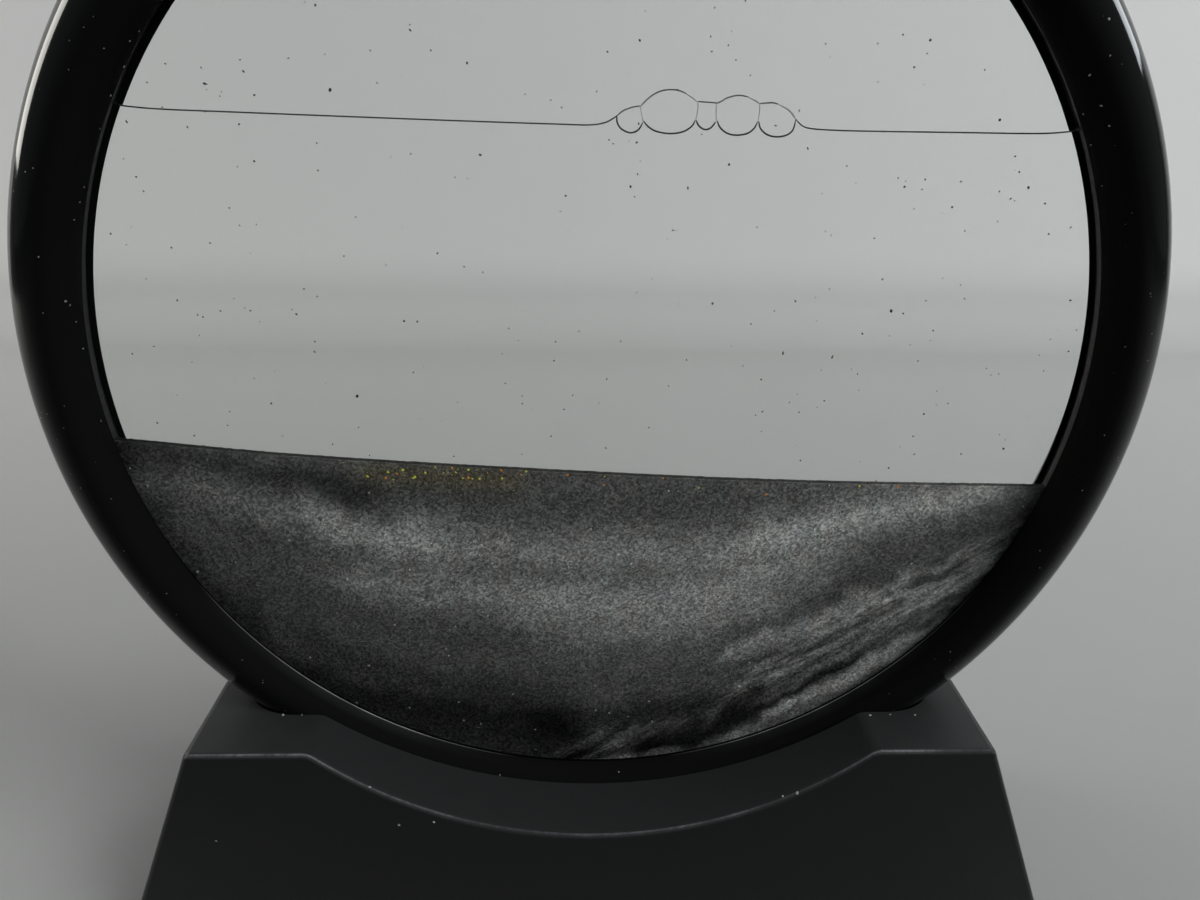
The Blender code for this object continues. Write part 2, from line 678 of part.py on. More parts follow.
def build_cover():
    """The plate that closes the base, with its four rubber feet."""
    low = (-COVER_HALF_X, -COVER_HALF_Y, COVER_HEIGHT)
    high = (COVER_HALF_X, COVER_HALF_Y, COVER_TOP)
    plate = add_object("bottom_cover", box_mesh("bottom_cover", low, high), COVER_BLACK)
    hole_top = COVER_TOP + CUT_PAST
    for hole in add_pins("cover_hole_cutter", SCREW_RADIUS + CLEARANCE, 0.0, hole_top, SCREW_PLACES, 16):
        add_boolean(plate, hole)
    socket_top = COVER_HEIGHT + FOOT_SOCKET
    for socket in add_pins("foot_socket_cutter", FOOT_RADIUS + CLEARANCE, 0.0, socket_top, FOOT_PLACES, 24):
        add_boolean(plate, socket)
    for number, place in enumerate(FOOT_PLACES, 1):
        name = f"foot_pad_{number}"
        mesh = cylinder_mesh(name, FOOT_RADIUS, 0.0, socket_top - CLEARANCE, segments=24, center=place)
        add_bevel(add_object(name, mesh, RUBBER), FOOT_ROUNDING)


def build_screws():
    """Self-tapping screws with a cross recess, driven up from below."""
    shoulder = COVER_HEIGHT - CLEARANCE
    head = shoulder - SCREW_HEAD_HEIGHT
    tip = shoulder + SCREW_LENGTH
    profile = [
        (0.0, tip),
        (SCREW_RADIUS * 0.3, tip),
        (SCREW_RADIUS, tip - SCREW_POINT),
        (SCREW_RADIUS, shoulder),
        (SCREW_HEAD_RADIUS, shoulder),
        (SCREW_HEAD_RADIUS, head + SCREW_HEAD_EDGE),
        (SCREW_HEAD_RADIUS - SCREW_HEAD_EDGE, head),
        (0.0, head),
    ]
    arm, half = RECESS_ARM, RECESS_HALF_WIDTH
    plus = []
    for turn in range(4):
        angle = math.radians(90 * turn + 11)
        for x, y in ((arm, -half), (arm, half), (half, half)):
            plus.append((x * math.cos(angle) - y * math.sin(angle), x * math.sin(angle) + y * math.cos(angle)))
    for number, (x, y) in enumerate(SCREW_PLACES, 1):
        seat = bpy.data.objects.new(f"screw_seat_{number}", None)
        seat.location = (x * MM, y * MM, 0.0)
        PARTS.objects.link(seat)
        screw = add_turned(f"cover_screw_{number}", profile, STEEL, closed=False, steps=16, parent=seat)
        recess = add_object(
            f"recess_cutter_{number}",
            outline_mesh(f"recess_cutter_{number}", plus, head + RECESS_DEPTH),
            None,
            collection=CUTTERS,
            parent=seat,
        )
        add_boolean(screw, recess)


def main():
    axis = add_empty("ring_axis", AXIS_HEIGHT)
    build_base_shell()
    build_cover()
    build_screws()
    build_frame(axis)
    build_cell(axis)
    build_liquid(axis)
    build_sand(axis)


main()
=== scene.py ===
"""Dresses the moving sand picture: finer shapes, its liquid, bubbles and sand, materials, light and camera.

Lengths are in millimetres unless said otherwise. Places in the cell are measured right of and above the frame's axis.
"""

import math
import random

import bmesh
import bpy
import numpy as np
from mathutils import Matrix, Vector, noise
from mathutils.geometry import delaunay_2d_cdt


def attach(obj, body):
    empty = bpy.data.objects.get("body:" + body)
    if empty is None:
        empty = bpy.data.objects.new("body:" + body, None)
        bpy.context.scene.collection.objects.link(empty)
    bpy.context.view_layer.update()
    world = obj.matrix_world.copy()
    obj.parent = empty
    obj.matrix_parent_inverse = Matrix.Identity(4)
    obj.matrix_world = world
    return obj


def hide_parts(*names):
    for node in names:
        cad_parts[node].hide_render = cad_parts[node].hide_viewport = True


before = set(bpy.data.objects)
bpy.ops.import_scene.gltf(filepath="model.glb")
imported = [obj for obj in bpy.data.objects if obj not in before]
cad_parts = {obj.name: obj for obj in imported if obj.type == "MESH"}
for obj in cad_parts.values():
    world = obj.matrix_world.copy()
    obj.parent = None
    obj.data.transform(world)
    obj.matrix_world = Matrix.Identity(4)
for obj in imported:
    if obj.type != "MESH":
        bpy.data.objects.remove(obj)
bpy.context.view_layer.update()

MM = 0.001

# The part's own sizes
REAR_WINDOW_RADIUS = 79.0
FRONT_WINDOW_RADIUS = 78.35
GLASS_RADIUS = 82.0
RING_RADIUS = 89.0
CREST_RADIUS = 82.0
RIM_ROUNDING = 7.0
FRAME_HALF_DEPTH = 8.0
AXIS_HEIGHT = 106.0
LIP_FACE = 3.0
LIP_CORNER = 3.6
REAR_CORNER = 3.15
REAR_FLARE = 0.7
POCKET_RADIUS = 82.3
SEAM = 0.15
CHANNEL = (83.9, 86.3, 4.5)  # inner radius, outer radius, depth
GASKET_GROOVE = (79.9, 81.7, 3.9)
PORT_RADIUS = 2.9
FILLING_RADIUS = 79.3
GLASS_INNER_FACE = 0.9
FLATS_HEIGHT = 44.73
DIP_RADIUS = 78.8
BASE_ENDS = (70.853, 0.386)  # half width at the flats, and how it grows downwards
BASE_FACES = (18.07, 0.12)  # the same of the half depth
SHOULDER_RADIUS = 3.5
EDGE_RADIUS = 1.2
BASE_WALL = 2.5
RIM_HEIGHT = 1.0
SLOT_CLEARANCE = 0.3
BOSS_RADIUS = 3.6
BOSS_FOOT = 4.8
PILOT_RADIUS = 1.55
PILOT_TOP = 14.0
SCREW_PLACE = (58.0, 13.98)
CUT_PAST = 2.0

RING_STEPS = 288
CYLINDER_STEPS = 48
THREAD_SIDES = 8


# Materials

GLOSS_BLACK = (0.0058, 0.0062, 0.0058, 1.0)
# painted highlight: a pale colour on the lip's inner side, low on both sides of the window, for the light the lip
# catches there
LIP_HIGHLIGHT_PALE = (0.4, 0.405, 0.42, 1.0)
LIP_HIGHLIGHT_TURNS = (2.05, 2.4, 2.6, 2.95)  # radians from the top: it starts, is full, wanes and ends
LIP_HIGHLIGHT_DEPTHS = (-0.0056, -0.0034, -0.0032)  # in metres, as are the next two: rounding to lip's face
LIP_HIGHLIGHT_REACH = 0.0795
MIRROR_REACH = (0.0815, 0.084)  # the inner side turns from dull to glossy
MOULDED_BLACKS = ((0.0028, 0.0028, 0.0028, 1.0), (0.0058, 0.0066, 0.0062, 1.0))
# partly painted light: the tops get this paler black for dust and for the light that falls on them from above
DUST_AND_LIT_TOP_BLACKS = ((0.014, 0.014, 0.014, 1.0), (0.024, 0.0252, 0.0256, 1.0))
WORN_PALE = (0.3, 0.305, 0.32, 1.0)
WORN_SLANT = 0.62  # how far a worn edge faces to the front or rear
WORN_SPAN = 0.15
GRAIN_SIZE = 0.32
GRAIN_TILT = 0.4
COARSE_GRAIN_SIZE = 0.6
GLINT_SHARE = 0.9992
STREAK_TILT = -35.0
STREAK_SIZE = (6.0, 0.8)  # along and across the streaks
COOL_SAND = (0.95, 1.0, 0.985, 1.0)
WARM_SAND = (1.0, 0.99, 0.95, 1.0)
GOLDEN_SAND = (1.0, 0.93, 0.66, 1.0)


class Look:
    """A Principled material and short calls for its nodes."""

    def __init__(self, name, **inputs):
        self.material = bpy.data.materials.new(name)
        self.material.use_nodes = True
        self.tree = self.material.node_tree
        self.shader = self.tree.nodes["Principled BSDF"]
        for key, value in inputs.items():
            self.set(key.replace("_", " "), value)

    def set(self, name, value, node=None):
        """Sets or links an input of the shader, or of another node."""
        socket = (node or self.shader).inputs[name]
        if isinstance(value, bpy.types.NodeSocket):
            self.tree.links.new(value, socket)
        else:
            socket.default_value = value

    def node(self, kind, inputs=(), **settings):
        made = self.tree.nodes.new("ShaderNode" + kind)
        for key, value in settings.items():
            setattr(made, key, value)
        for key, value in dict(inputs).items():
            self.set(key, value, made)
        return made

    def place(self):
        return self.node("TexCoord").outputs["Object"]

    def attribute(self, name):
        return self.node("Attribute", attribute_name=name).outputs["Fac"]

    def parts(self, vector):
        return self.node("SeparateXYZ", {0: vector}).outputs

    def math(self, operation, a, b=0.0):
        return self.node("Math", {0: a, 1: b}, operation=operation).outputs[0]

    def times(self, first, *rest):
        for value in rest:
            first = self.math("MULTIPLY", first, value)
        return first

    def noise(self, size, detail=2.0, roughness=0.5):
        """Smooth noise whose features are about size across."""
        inputs = {"Vector": self.place(), "Scale": 1.0 / (size * MM), "Detail": detail, "Roughness": roughness}
        return self.node("TexNoise", inputs).outputs["Fac"]

    def grains(self, size):
        """A random colour for each grain, and its three levels."""
        color = self.node("TexVoronoi", {"Vector": self.place(), "Scale": 1.0 / (size * MM)}).outputs["Color"]
        return color, self.node("SeparateColor", {0: color}).outputs

    def spread(self, value, low, high, to_low=0.0, to_high=1.0):
        inputs = {0: value, 1: low, 2: high, 3: to_low, 4: to_high}
        return self.node("MapRange", inputs).outputs[0]

    def mix(self, factor, a, b):
        return self.node("Mix", {0: factor, 6: a, 7: b}, data_type="RGBA").outputs[2]

    def bump(self, height, depth, strength):
        """Raises the surface by up to depth."""
        inputs = {"Height": height, "Distance": depth * MM, "Strength": strength}
        self.set("Normal", self.node("Bump", inputs).outputs[0])


def frame_look():
    """Gloss black that mirrors less at its edges and inside, with a painted highlight: the lip's inner side is pale low
    on both sides of the window, for the light it catches there.
    """
    look = Look("gloss_black")
    place = look.parts(look.place())
    height = look.math("SUBTRACT", place["Z"], AXIS_HEIGHT * MM)
    reach = look.math("ADD", look.math("POWER", place["X"], 2.0), look.math("POWER", height, 2.0))
    reach = look.math("SQRT", reach)
    turn = look.math("ABSOLUTE", look.math("ARCTAN2", place["X"], height))
    start, full, wane, end = LIP_HIGHLIGHT_TURNS
    low = look.times(
        look.spread(turn, start, full),
        look.spread(turn, wane, end, 1.0, 0.0),
        look.math("LESS_THAN", place["Y"], 0.0),
        look.math("LESS_THAN", reach, LIP_HIGHLIGHT_REACH),
    )
    deep, soft, face = LIP_HIGHLIGHT_DEPTHS
    # painted highlight: the lip's inner side made pale low on both sides of the window
    painted_highlight = look.times(
        look.spread(place["Y"], soft, face, 0.045, 1.0),
        look.spread(place["Y"], deep, soft),
        low,
        look.spread(look.noise(6.0), 0.3, 0.7, 0.5, 1.0),
    )
    look.set("Base Color", look.mix(painted_highlight, GLOSS_BLACK, LIP_HIGHLIGHT_PALE))
    edge = look.node("LayerWeight", {"Blend": 0.5}).outputs["Facing"]
    look.set("Specular IOR Level", look.spread(edge, 0.55, 0.95, 0.35, 0.08))
    look.set("IOR", look.spread(reach, *MIRROR_REACH, 1.04, 1.45))
    look.set("Roughness", look.spread(look.noise(14.0, 3.0), 0.35, 0.7, 0.07, 0.11))
    look.bump(look.noise(9.0, 1.0), 0.02, 0.3)
    return look.material


def base_look():
    """Satin black, paler on top for dust and for painted light from above, and worn pale along its upper front and rear
    edges.
    """
    look = Look("satin_black", Specular_IOR_Level=0.3)
    facing = look.parts(look.node("TexCoord").outputs["Normal"])
    slant = look.math("ABSOLUTE", look.math("SUBTRACT", look.math("ABSOLUTE", facing["Y"]), WORN_SLANT))
    band = look.spread(slant, 0.0, WORN_SPAN, 1.0, 0.0)
    up = look.spread(facing["Z"], 0.3, 0.6)
    patches = look.spread(look.noise(30.0, 3.0, 0.6), 0.42, 0.6, 0.2, 1.0)
    scuffs = look.spread(look.noise(0.9, 3.0, 0.8), 0.35, 0.65, 0.35, 1.0)
    wear = look.times(band, up, look.times(patches, scuffs))
    mottle = look.spread(look.noise(5.0, 4.0, 0.65), 0.3, 0.7, 0.85, 1.2)
    moulded = look.mix(mottle, *MOULDED_BLACKS)
    # dust and painted light: faces turned upwards get the paler black
    dust_and_light = look.mix(mottle, *DUST_AND_LIT_TOP_BLACKS)
    plain = look.mix(look.times(up, 0.8), moulded, dust_and_light)
    look.set("Base Color", look.mix(look.times(wear, 0.85), plain, WORN_PALE))
    look.set("Roughness", look.spread(look.noise(2.5, 3.0), 0.3, 0.7, 0.36, 0.46))
    look.bump(look.noise(0.35), 0.02, 0.5)
    return look.material


def plain_look(name, color, roughness, grain=1.2, depth=0.03, **inputs):
    """Moulded plastic, rubber, foam or metal: mottled, with a fine grain."""
    look = Look(name, **inputs)
    dark, light = ((*[min(c * share, 1.0) for c in color], 1.0) for share in (0.75, 1.35))
    look.set("Base Color", look.mix(look.spread(look.noise(grain * 4, 3.0), 0.3, 0.7), dark, light))
    look.set("Roughness", look.spread(look.noise(grain), 0.3, 0.7, roughness - 0.06, roughness + 0.06))
    look.bump(look.noise(grain), depth, 0.6)
    return look.material


def clear_look(name, color, ior):
    """Glass or liquid, tinted a little unevenly, that mirrors less than it bends."""
    look = Look(name, IOR=ior, Roughness=0.0, Transmission_Weight=1.0, Specular_Tint=(0.06, 0.06, 0.06, 1.0))
    tint = look.spread(look.noise(24.0), 0.35, 0.7)
    look.set("Base Color", look.mix(tint, (*color, 1.0), (*[c * 0.996 for c in color], 1.0)))
    return look.material


def sand_look():
    """Wet grains, each with a shade and a tilt of its own, about the tone that is kept with the mesh."""
    look = Look("sand", Specular_IOR_Level=0.14)
    grain, shades = look.grains(GRAIN_SIZE)
    fine = look.spread(shades[0], 0.0, 1.0, 0.68, 1.32)
    coarse = look.spread(look.grains(COARSE_GRAIN_SIZE)[1][0], 0.0, 1.0, 0.86, 1.14)
    cloud = look.spread(look.noise(3.5, 5.0, 0.8), 0.3, 0.7, 0.7, 1.3)
    along = look.node(
        "Mapping",
        {
            "Vector": look.place(),
            "Rotation": (0.0, math.radians(STREAK_TILT), 0.0),
            "Scale": (STREAK_SIZE[0] * MM, 1.0, STREAK_SIZE[1] * MM),
        },
        vector_type="TEXTURE",
    )
    drawn = look.node("TexNoise", {"Vector": along.outputs[0], "Scale": 1.0, "Detail": 3.0})
    swing = look.spread(drawn.outputs["Fac"], 0.35, 0.65, -0.55, 0.55)
    streaks = look.math("ADD", look.times(swing, look.attribute("streaks")), 1.0)
    level = look.times(look.attribute("tone"), fine, coarse, cloud, streaks)
    level = look.math("ADD", level, look.times(look.math("GREATER_THAN", shades[2], GLINT_SHARE), 0.3))
    hue = look.spread(look.noise(5.0), 0.35, 0.65)
    tint = look.mix(look.attribute("gold"), look.mix(hue, COOL_SAND, WARM_SAND), GOLDEN_SAND)
    look.set("Base Color", look.mix(level, (0.0, 0.0, 0.0, 1.0), tint))
    look.set("Roughness", look.spread(shades[1], 0.0, 1.0, 0.4, 0.85))
    tilt = look.node("VectorMath", {0: grain, 1: (0.5, 0.5, 0.5)}, operation="SUBTRACT")
    tilt = look.node("VectorMath", {0: tilt.outputs[0], "Scale": GRAIN_TILT}, operation="SCALE")
    facing = look.node("NewGeometry").outputs["Normal"]
    facet = look.node("VectorMath", {0: facing, 1: tilt.outputs[0]}, operation="ADD")
    facet = look.node("VectorMath", {0: facet.outputs[0]}, operation="NORMALIZE")
    look.set("Normal", facet.outputs[0])
    return look.material


# Meshes

SHARP = 32.0  # degrees, as is the next
FLAT = 0.05
WELD = 0.00001


def finished(bm, name, angle=SHARP):
    bmesh.ops.recalc_face_normals(bm, faces=bm.faces)
    mesh = bpy.data.meshes.new(name)
    bm.to_mesh(mesh)
    bm.free()
    mesh.shade_smooth()
    mesh.set_sharp_from_angle(angle=math.radians(angle))
    return mesh


def mesh_of(name, vertices, faces, angle=SHARP, weld=0.0):
    bm = bmesh.new()
    made = [bm.verts.new(v) for v in vertices]
    for face in faces:
        bm.faces.new([made[i] for i in face])
    if weld:
        bmesh.ops.remove_doubles(bm, verts=bm.verts, dist=weld * MM)
    return finished(bm, name, angle)


def in_cell(x, y, z):
    return Vector((x, y, AXIS_HEIGHT + z)) * MM


def placed(name, data):
    obj = bpy.data.objects.new(name, data)
    bpy.context.scene.collection.objects.link(obj)
    return obj


def add_piece(name, mesh, material, body, replaced=()):
    obj = placed(name, mesh)
    if not mesh.materials:
        mesh.materials.append(material)
    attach(obj, body)
    if replaced:
        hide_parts(*replaced)
    return obj


def row_faces(rows, count, closed=True):
    """Faces between neighbouring rows of vertices, given by the number of each row's first."""
    faces = []
    for here, there in zip(rows, rows[1:]):
        for k in range(count if closed else count - 1):
            m = (k + 1) % count
            faces.append((here + k, here + m, there + m, there + k))
    return faces


def turned_mesh(name, points, side=1.0, closed=True, steps=RING_STEPS):
    """A profile of (radius, distance to one side of the middle plane) turned about the frame's axis."""
    count = len(points)
    vertices = []
    for i in range(steps):
        turn = 2.0 * math.pi * i / steps
        vertices += [in_cell(r * math.sin(turn), side * y, r * math.cos(turn)) for r, y in points]
    faces = row_faces([i % steps * count for i in range(steps + 1)], count, closed)
    return mesh_of(name, vertices, faces, weld=0.001)


def cylinder_mesh(name, radius, low, high, center=(0.0, 0.0)):
    bm = bmesh.new()
    bmesh.ops.create_cone(
        bm, cap_ends=True, segments=CYLINDER_STEPS, radius1=radius * MM, radius2=radius * MM, depth=(high - low) * MM
    )
    bmesh.ops.translate(bm, vec=Vector((center[0], center[1], (low + high) / 2)) * MM, verts=bm.verts)
    return finished(bm, name)


def plate_mesh(name, outlines, near, far, lift=0.0):
    """Outlines in the XZ plane, holes among them, as a plate between two depths."""
    points, edges = [], []
    for outline in outlines:
        first, count = len(points), len(outline)
        points += [Vector(p) for p in outline]
        edges += [(first + i, first + (i + 1) % count) for i in range(count)]
    places, _, faces, *_ = delaunay_2d_cdt(points, edges, [], 5, WELD)
    bm = bmesh.new()
    sides = [[bm.verts.new(Vector((x, y, z + lift)) * MM) for x, z in places] for y in (near, far)]
    for face in faces:
        bm.faces.new([sides[0][i] for i in face])
    bm.verts.index_update()
    rims = [[v.index for v in e.verts] for e in bm.edges if len(e.link_faces) == 1]
    for face in faces:
        bm.faces.new([sides[1][i] for i in reversed(face)])
    for i, k in rims:
        bm.faces.new((sides[0][i], sides[0][k], sides[1][k], sides[1][i]))
    if len(outlines) == 1:
        bm.normal_update()
        bmesh.ops.dissolve_limit(bm, angle_limit=math.radians(FLAT), verts=bm.verts, edges=bm.edges)
    return finished(bm, name)


def helper(mesh):
    return placed(mesh.name, mesh)


def cut(obj, *tools):
    for tool in tools:
        modifier = obj.modifiers.new(tool.name, "BOOLEAN")
        modifier.operation = "DIFFERENCE"
        modifier.object = tool


def drop(*objects):
    for obj in objects:
        bpy.data.objects.remove(obj, do_unlink=True)


def baked(obj, name, angle=SHARP):
    """The mesh of obj with its modifiers applied. The helper object goes."""
    bpy.context.view_layer.update()
    mesh = bpy.data.meshes.new_from_object(obj.evaluated_get(bpy.context.evaluated_depsgraph_get()))
    drop(obj)
    bm = bmesh.new()
    bm.from_mesh(mesh)
    bpy.data.meshes.remove(mesh)
    made = finished(bm, name, angle)
    made.materials.clear()
    return made


def arc(center, reach, start, end, steps):
    """Points on an arc or, with two reaches, on an ellipse, from start to end in degrees."""
    a, b = reach if isinstance(reach, tuple) else (reach, reach)
    turns = [math.radians(start + (end - start) * i / steps) for i in range(steps + 1)]
    return [(center[0] + a * math.cos(t), center[1] + b * math.sin(t)) for t in turns]


def catmull_rom(a, b, c, d, t):
    return 0.5 * (2 * b + (c - a) * t + (2 * a - 5 * b + 4 * c - d) * t * t + (3 * b - a - 3 * c + d) * t**3)


def smooth_loop(points, closed=False, steps=6):
    """A Catmull-Rom curve through the points."""
    count = len(points)
    out = []
    for i in range(count if closed else count - 1):
        near = [(i + k) % count if closed else min(max(i + k, 0), count - 1) for k in (-1, 0, 1, 2)]
        axes = list(zip(*[points[k] for k in near]))
        out += [tuple(catmull_rom(*axis, s / steps) for axis in axes) for s in range(steps)]
    if not closed:
        out.append(tuple(points[-1]))
    return out


def tube_mesh(name, paths):
    """Round threads along paths of (x, y, z, radius) in the cell, with closed ends."""
    bm = bmesh.new()
    for path in paths:
        rings = []
        count = len(path)
        for i, (x, y, z, r) in enumerate(path):
            before, after = path[max(i - 1, 0)], path[min(i + 1, count - 1)]
            along = Vector((after[0] - before[0], after[1] - before[1], after[2] - before[2])).normalized()
            across = along.cross(Vector((0.0, 1.0, 0.0))).normalized()
            out = across.cross(along).normalized()
            ring = []
            for k in range(THREAD_SIDES):
                a = 2 * math.pi * k / THREAD_SIDES
                offset = (across * math.cos(a) + out * math.sin(a)) * r
                ring.append(bm.verts.new(in_cell(x + offset.x, y + offset.y, z + offset.z)))
            rings.append(ring)
        for one, two in zip(rings, rings[1:]):
            for k in range(THREAD_SIDES):
                m = (k + 1) % THREAD_SIDES
                bm.faces.new((one[k], one[m], two[m], two[k]))
        bm.faces.new(rings[0])
        bm.faces.new(rings[-1])
    return finished(bm, name, 60.0)


def specks_mesh(name, places, seed, flatness=0.45):
    """Small uneven crumbs at (point in metres, direction out of the surface, size in millimetres)."""
    rng = random.Random(seed)
    bm = bmesh.new()
    for point, out, size in places:
        made = bmesh.ops.create_icosphere(bm, subdivisions=1, radius=0.5)["verts"]
        flat = Vector((rng.uniform(0.6, 1.5), rng.uniform(0.6, 1.2), rng.uniform(0.7, 1.3) * flatness))
        turn = out.to_track_quat("Z", "Y").to_matrix().to_4x4() @ Matrix.Rotation(rng.uniform(0, math.tau), 4, "Z")
        place = Matrix.Translation(point) @ turn @ Matrix.Diagonal((*(flat * size * MM), 1.0))
        for v in made:
            v.co = place @ (v.co * rng.uniform(0.8, 1.2))
    return finished(bm, name, 60.0)


# Frame

LIP_SOFTNESS = 0.18
FLARE_BEND = (0.5, 0.1, 0.06, 0.15)  # the flare's end, a point between, the rim's start


def round_lip():
    """Inner side of the front half, rounded from its softened lip to the crest."""
    soft = arc((FRONT_WINDOW_RADIUS + LIP_SOFTNESS, LIP_FACE + LIP_SOFTNESS), LIP_SOFTNESS, 270.0, 180.0, 4)
    reach = (CREST_RADIUS - FRONT_WINDOW_RADIUS, FRAME_HALF_DEPTH - LIP_CORNER)
    return [*soft, *arc((CREST_RADIUS, LIP_CORNER), reach, 180.0, 90.0, 16)]


def flared_lip():
    """Inner side of the rear half, opening straight from the window to the crest."""
    crest = REAR_WINDOW_RADIUS + REAR_FLARE * (FRAME_HALF_DEPTH - REAR_CORNER)
    before, near, drop_, past = FLARE_BEND
    top, start = (
        FRAME_HALF_DEPTH * math.sin(math.acos((reach - CREST_RADIUS) / RIM_ROUNDING)) for reach in (crest, crest + past)
    )
    return [
        (REAR_WINDOW_RADIUS, LIP_FACE),
        (REAR_WINDOW_RADIUS, REAR_CORNER),
        (crest - before, top - before / REAR_FLARE),
        (crest - near, top - drop_),
        (crest + past, start),
    ]


def frame_profile(lip):
    """Section of a half of the frame: lip, rim, seam, channel, pocket and gasket groove."""
    seam_angle = math.degrees(math.asin(SEAM / FRAME_HALF_DEPTH))
    channel_in, channel_out, channel_top = CHANNEL
    groove_in, groove_out, groove_floor = GASKET_GROOVE
    return [
        *lip,
        *arc((CREST_RADIUS, 0.0), (RIM_ROUNDING, FRAME_HALF_DEPTH), 90.0, seam_angle, 24)[2:],
        (channel_out, SEAM), (channel_out, channel_top), (channel_in, channel_top), (channel_in, SEAM),
        (POCKET_RADIUS, SEAM), (POCKET_RADIUS, LIP_FACE),
        (groove_out, LIP_FACE), (groove_out, groove_floor), (groove_in, groove_floor), (groove_in, LIP_FACE),
    ]


def build_frame():
    look = frame_look()
    port = helper(
        cylinder_mesh("port_tool", PORT_RADIUS, AXIS_HEIGHT + GLASS_RADIUS, AXIS_HEIGHT + RING_RADIUS + CUT_PAST)
    )
    for node, lip, side in (("front_frame", round_lip(), -1.0), ("rear_frame", flared_lip(), 1.0)):
        half = helper(turned_mesh("half", frame_profile(lip), side))
        cut(half, port)
        add_piece(f"{node}_fine", baked(half, f"{node}_fine"), look, "ring", (node,))
    drop(port)


# Base

BEVEL_STEPS = 6
BEVEL_FROM = 30.0  # degrees between faces, from which an edge is rounded
KEPT_SHOULDER = 0.5  # least rounding inside the shell


def half_size(height, inset, at_flats, slope):
    return at_flats + (FLATS_HEIGHT - height) * slope - inset * math.hypot(1.0, slope)


def base_outline(inset, bottom):
    """Front view of the base, drawn in by a wall: slanted ends, flat shoulders and the round dip."""
    top = FLATS_HEIGHT - inset
    shoulder = max(SHOULDER_RADIUS - inset, KEPT_SHOULDER)
    dip = DIP_RADIUS + inset
    drop_ = AXIS_HEIGHT - top + shoulder
    shoulder_x = math.sqrt((dip + shoulder) ** 2 - drop_**2)
    tangent = math.degrees(math.atan2(-drop_, shoulder_x))
    right = [
        *arc((0.0, AXIS_HEIGHT), dip, -90.0, tangent, 40)[1:],
        *arc((shoulder_x, top - shoulder), shoulder, tangent + 180.0, 90.0, 10)[1:],
        *[(half_size(z, inset, *BASE_ENDS), z) for z in (top, bottom)],
    ]
    left = [(-x, z) for x, z in reversed(right)]
    return [*left, (0.0, AXIS_HEIGHT - dip), *right]


def tapered(name, outline, inset):
    """The outline as a block whose front and rear faces lean outwards towards the table."""
    mesh = plate_mesh(name, [outline], -1.0, 1.0)
    for v in mesh.vertices:
        v.co.y = math.copysign(half_size(v.co.z / MM, inset, *BASE_FACES) * MM, v.co.y)
    return mesh


def slot_tool(name, growth):
    half = FRAME_HALF_DEPTH + growth
    rounding = arc((CREST_RADIUS, 0.0), (RIM_ROUNDING + growth, half), 90.0, -90.0, 20)
    return helper(turned_mesh(name, [(0.0, half), *rounding, (0.0, -half)], closed=False, steps=180))


def build_base():
    cavity = helper(tapered("cavity_tool", base_outline(BASE_WALL, RIM_HEIGHT - CUT_PAST), BASE_WALL))
    wall = slot_tool("slot_wall_tool", SLOT_CLEARANCE + BASE_WALL)
    slot = slot_tool("slot_tool", SLOT_CLEARANCE)
    places = [(x * SCREW_PLACE[0], y * SCREW_PLACE[1]) for x in (-1, 1) for y in (-1, 1)]
    bosses = [
        helper(cylinder_mesh(f"boss_tool_{i}", BOSS_RADIUS, BOSS_FOOT, FLATS_HEIGHT + CUT_PAST, at))
        for i, at in enumerate(places)
    ]
    pilots = [helper(cylinder_mesh(f"pilot_tool_{i}", PILOT_RADIUS, 0.0, PILOT_TOP, at)) for i, at in enumerate(places)]
    cut(cavity, wall, *bosses)
    shell = helper(tapered("shell", base_outline(0.0, RIM_HEIGHT), 0.0))
    bevel = shell.modifiers.new("Rounding", "BEVEL")
    bevel.width = EDGE_RADIUS * MM
    bevel.segments = BEVEL_STEPS
    bevel.use_clamp_overlap = False
    bevel.limit_method = "ANGLE"
    bevel.angle_limit = math.radians(BEVEL_FROM)
    cut(shell, cavity, slot, *pilots)
    mesh = baked(shell, "base_shell_fine", 10.0)
    drop(cavity, wall, slot, *bosses, *pilots)
    add_piece("base_shell_fine", mesh, base_look(), "base", ("base_shell",))


# Liquid

SURFACE_LEFT = (
    (-68.38, 41.82), (-66.84, 40.82), (-61.71, 40.42), (-50.74, 40.16), (-34.11, 39.79), (-17.3, 39.45),
    (-6.0, 39.27), (-1.74, 39.24), (0.53, 39.62), (2.08, 40.5),
)
SURFACE_RIGHT = (
    (27.49, 40.35), (28.14, 39.76), (28.91, 39.37), (30.38, 39.15), (33.58, 39.03), (39.38, 38.98),
    (51.03, 39.0), (62.74, 39.03), (67.64, 39.4), (69.4, 39.96),
)
BUBBLE_TOPS = (
    ((2.08, 40.5), (2.91, 41.16), (4.17, 41.63), (5.29, 41.81)),
    ((5.35, 41.75), (5.98, 42.44), (7.07, 43.29), (8.31, 43.82), (9.71, 43.96), (10.84, 43.8), (11.78, 43.43)),
    ((13.39, 42.5), (14.46, 42.44), (15.74, 42.38), (16.03, 42.3)),
    ((16.03, 42.3), (16.71, 42.6), (17.53, 43.06), (19.05, 43.38), (20.49, 43.17)),
    ((22.1, 42.36), (23.11, 42.46), (23.96, 42.5), (24.69, 42.33)),
)
BUBBLE_GLINTS = (
    ((11.7, 43.46), (12.58, 43.0), (13.3, 42.45)),
    ((20.5, 43.15), (21.38, 42.8), (22.06, 42.36)),
    ((24.8, 42.3), (25.89, 41.83), (26.67, 41.25), (27.3, 40.5)),
)
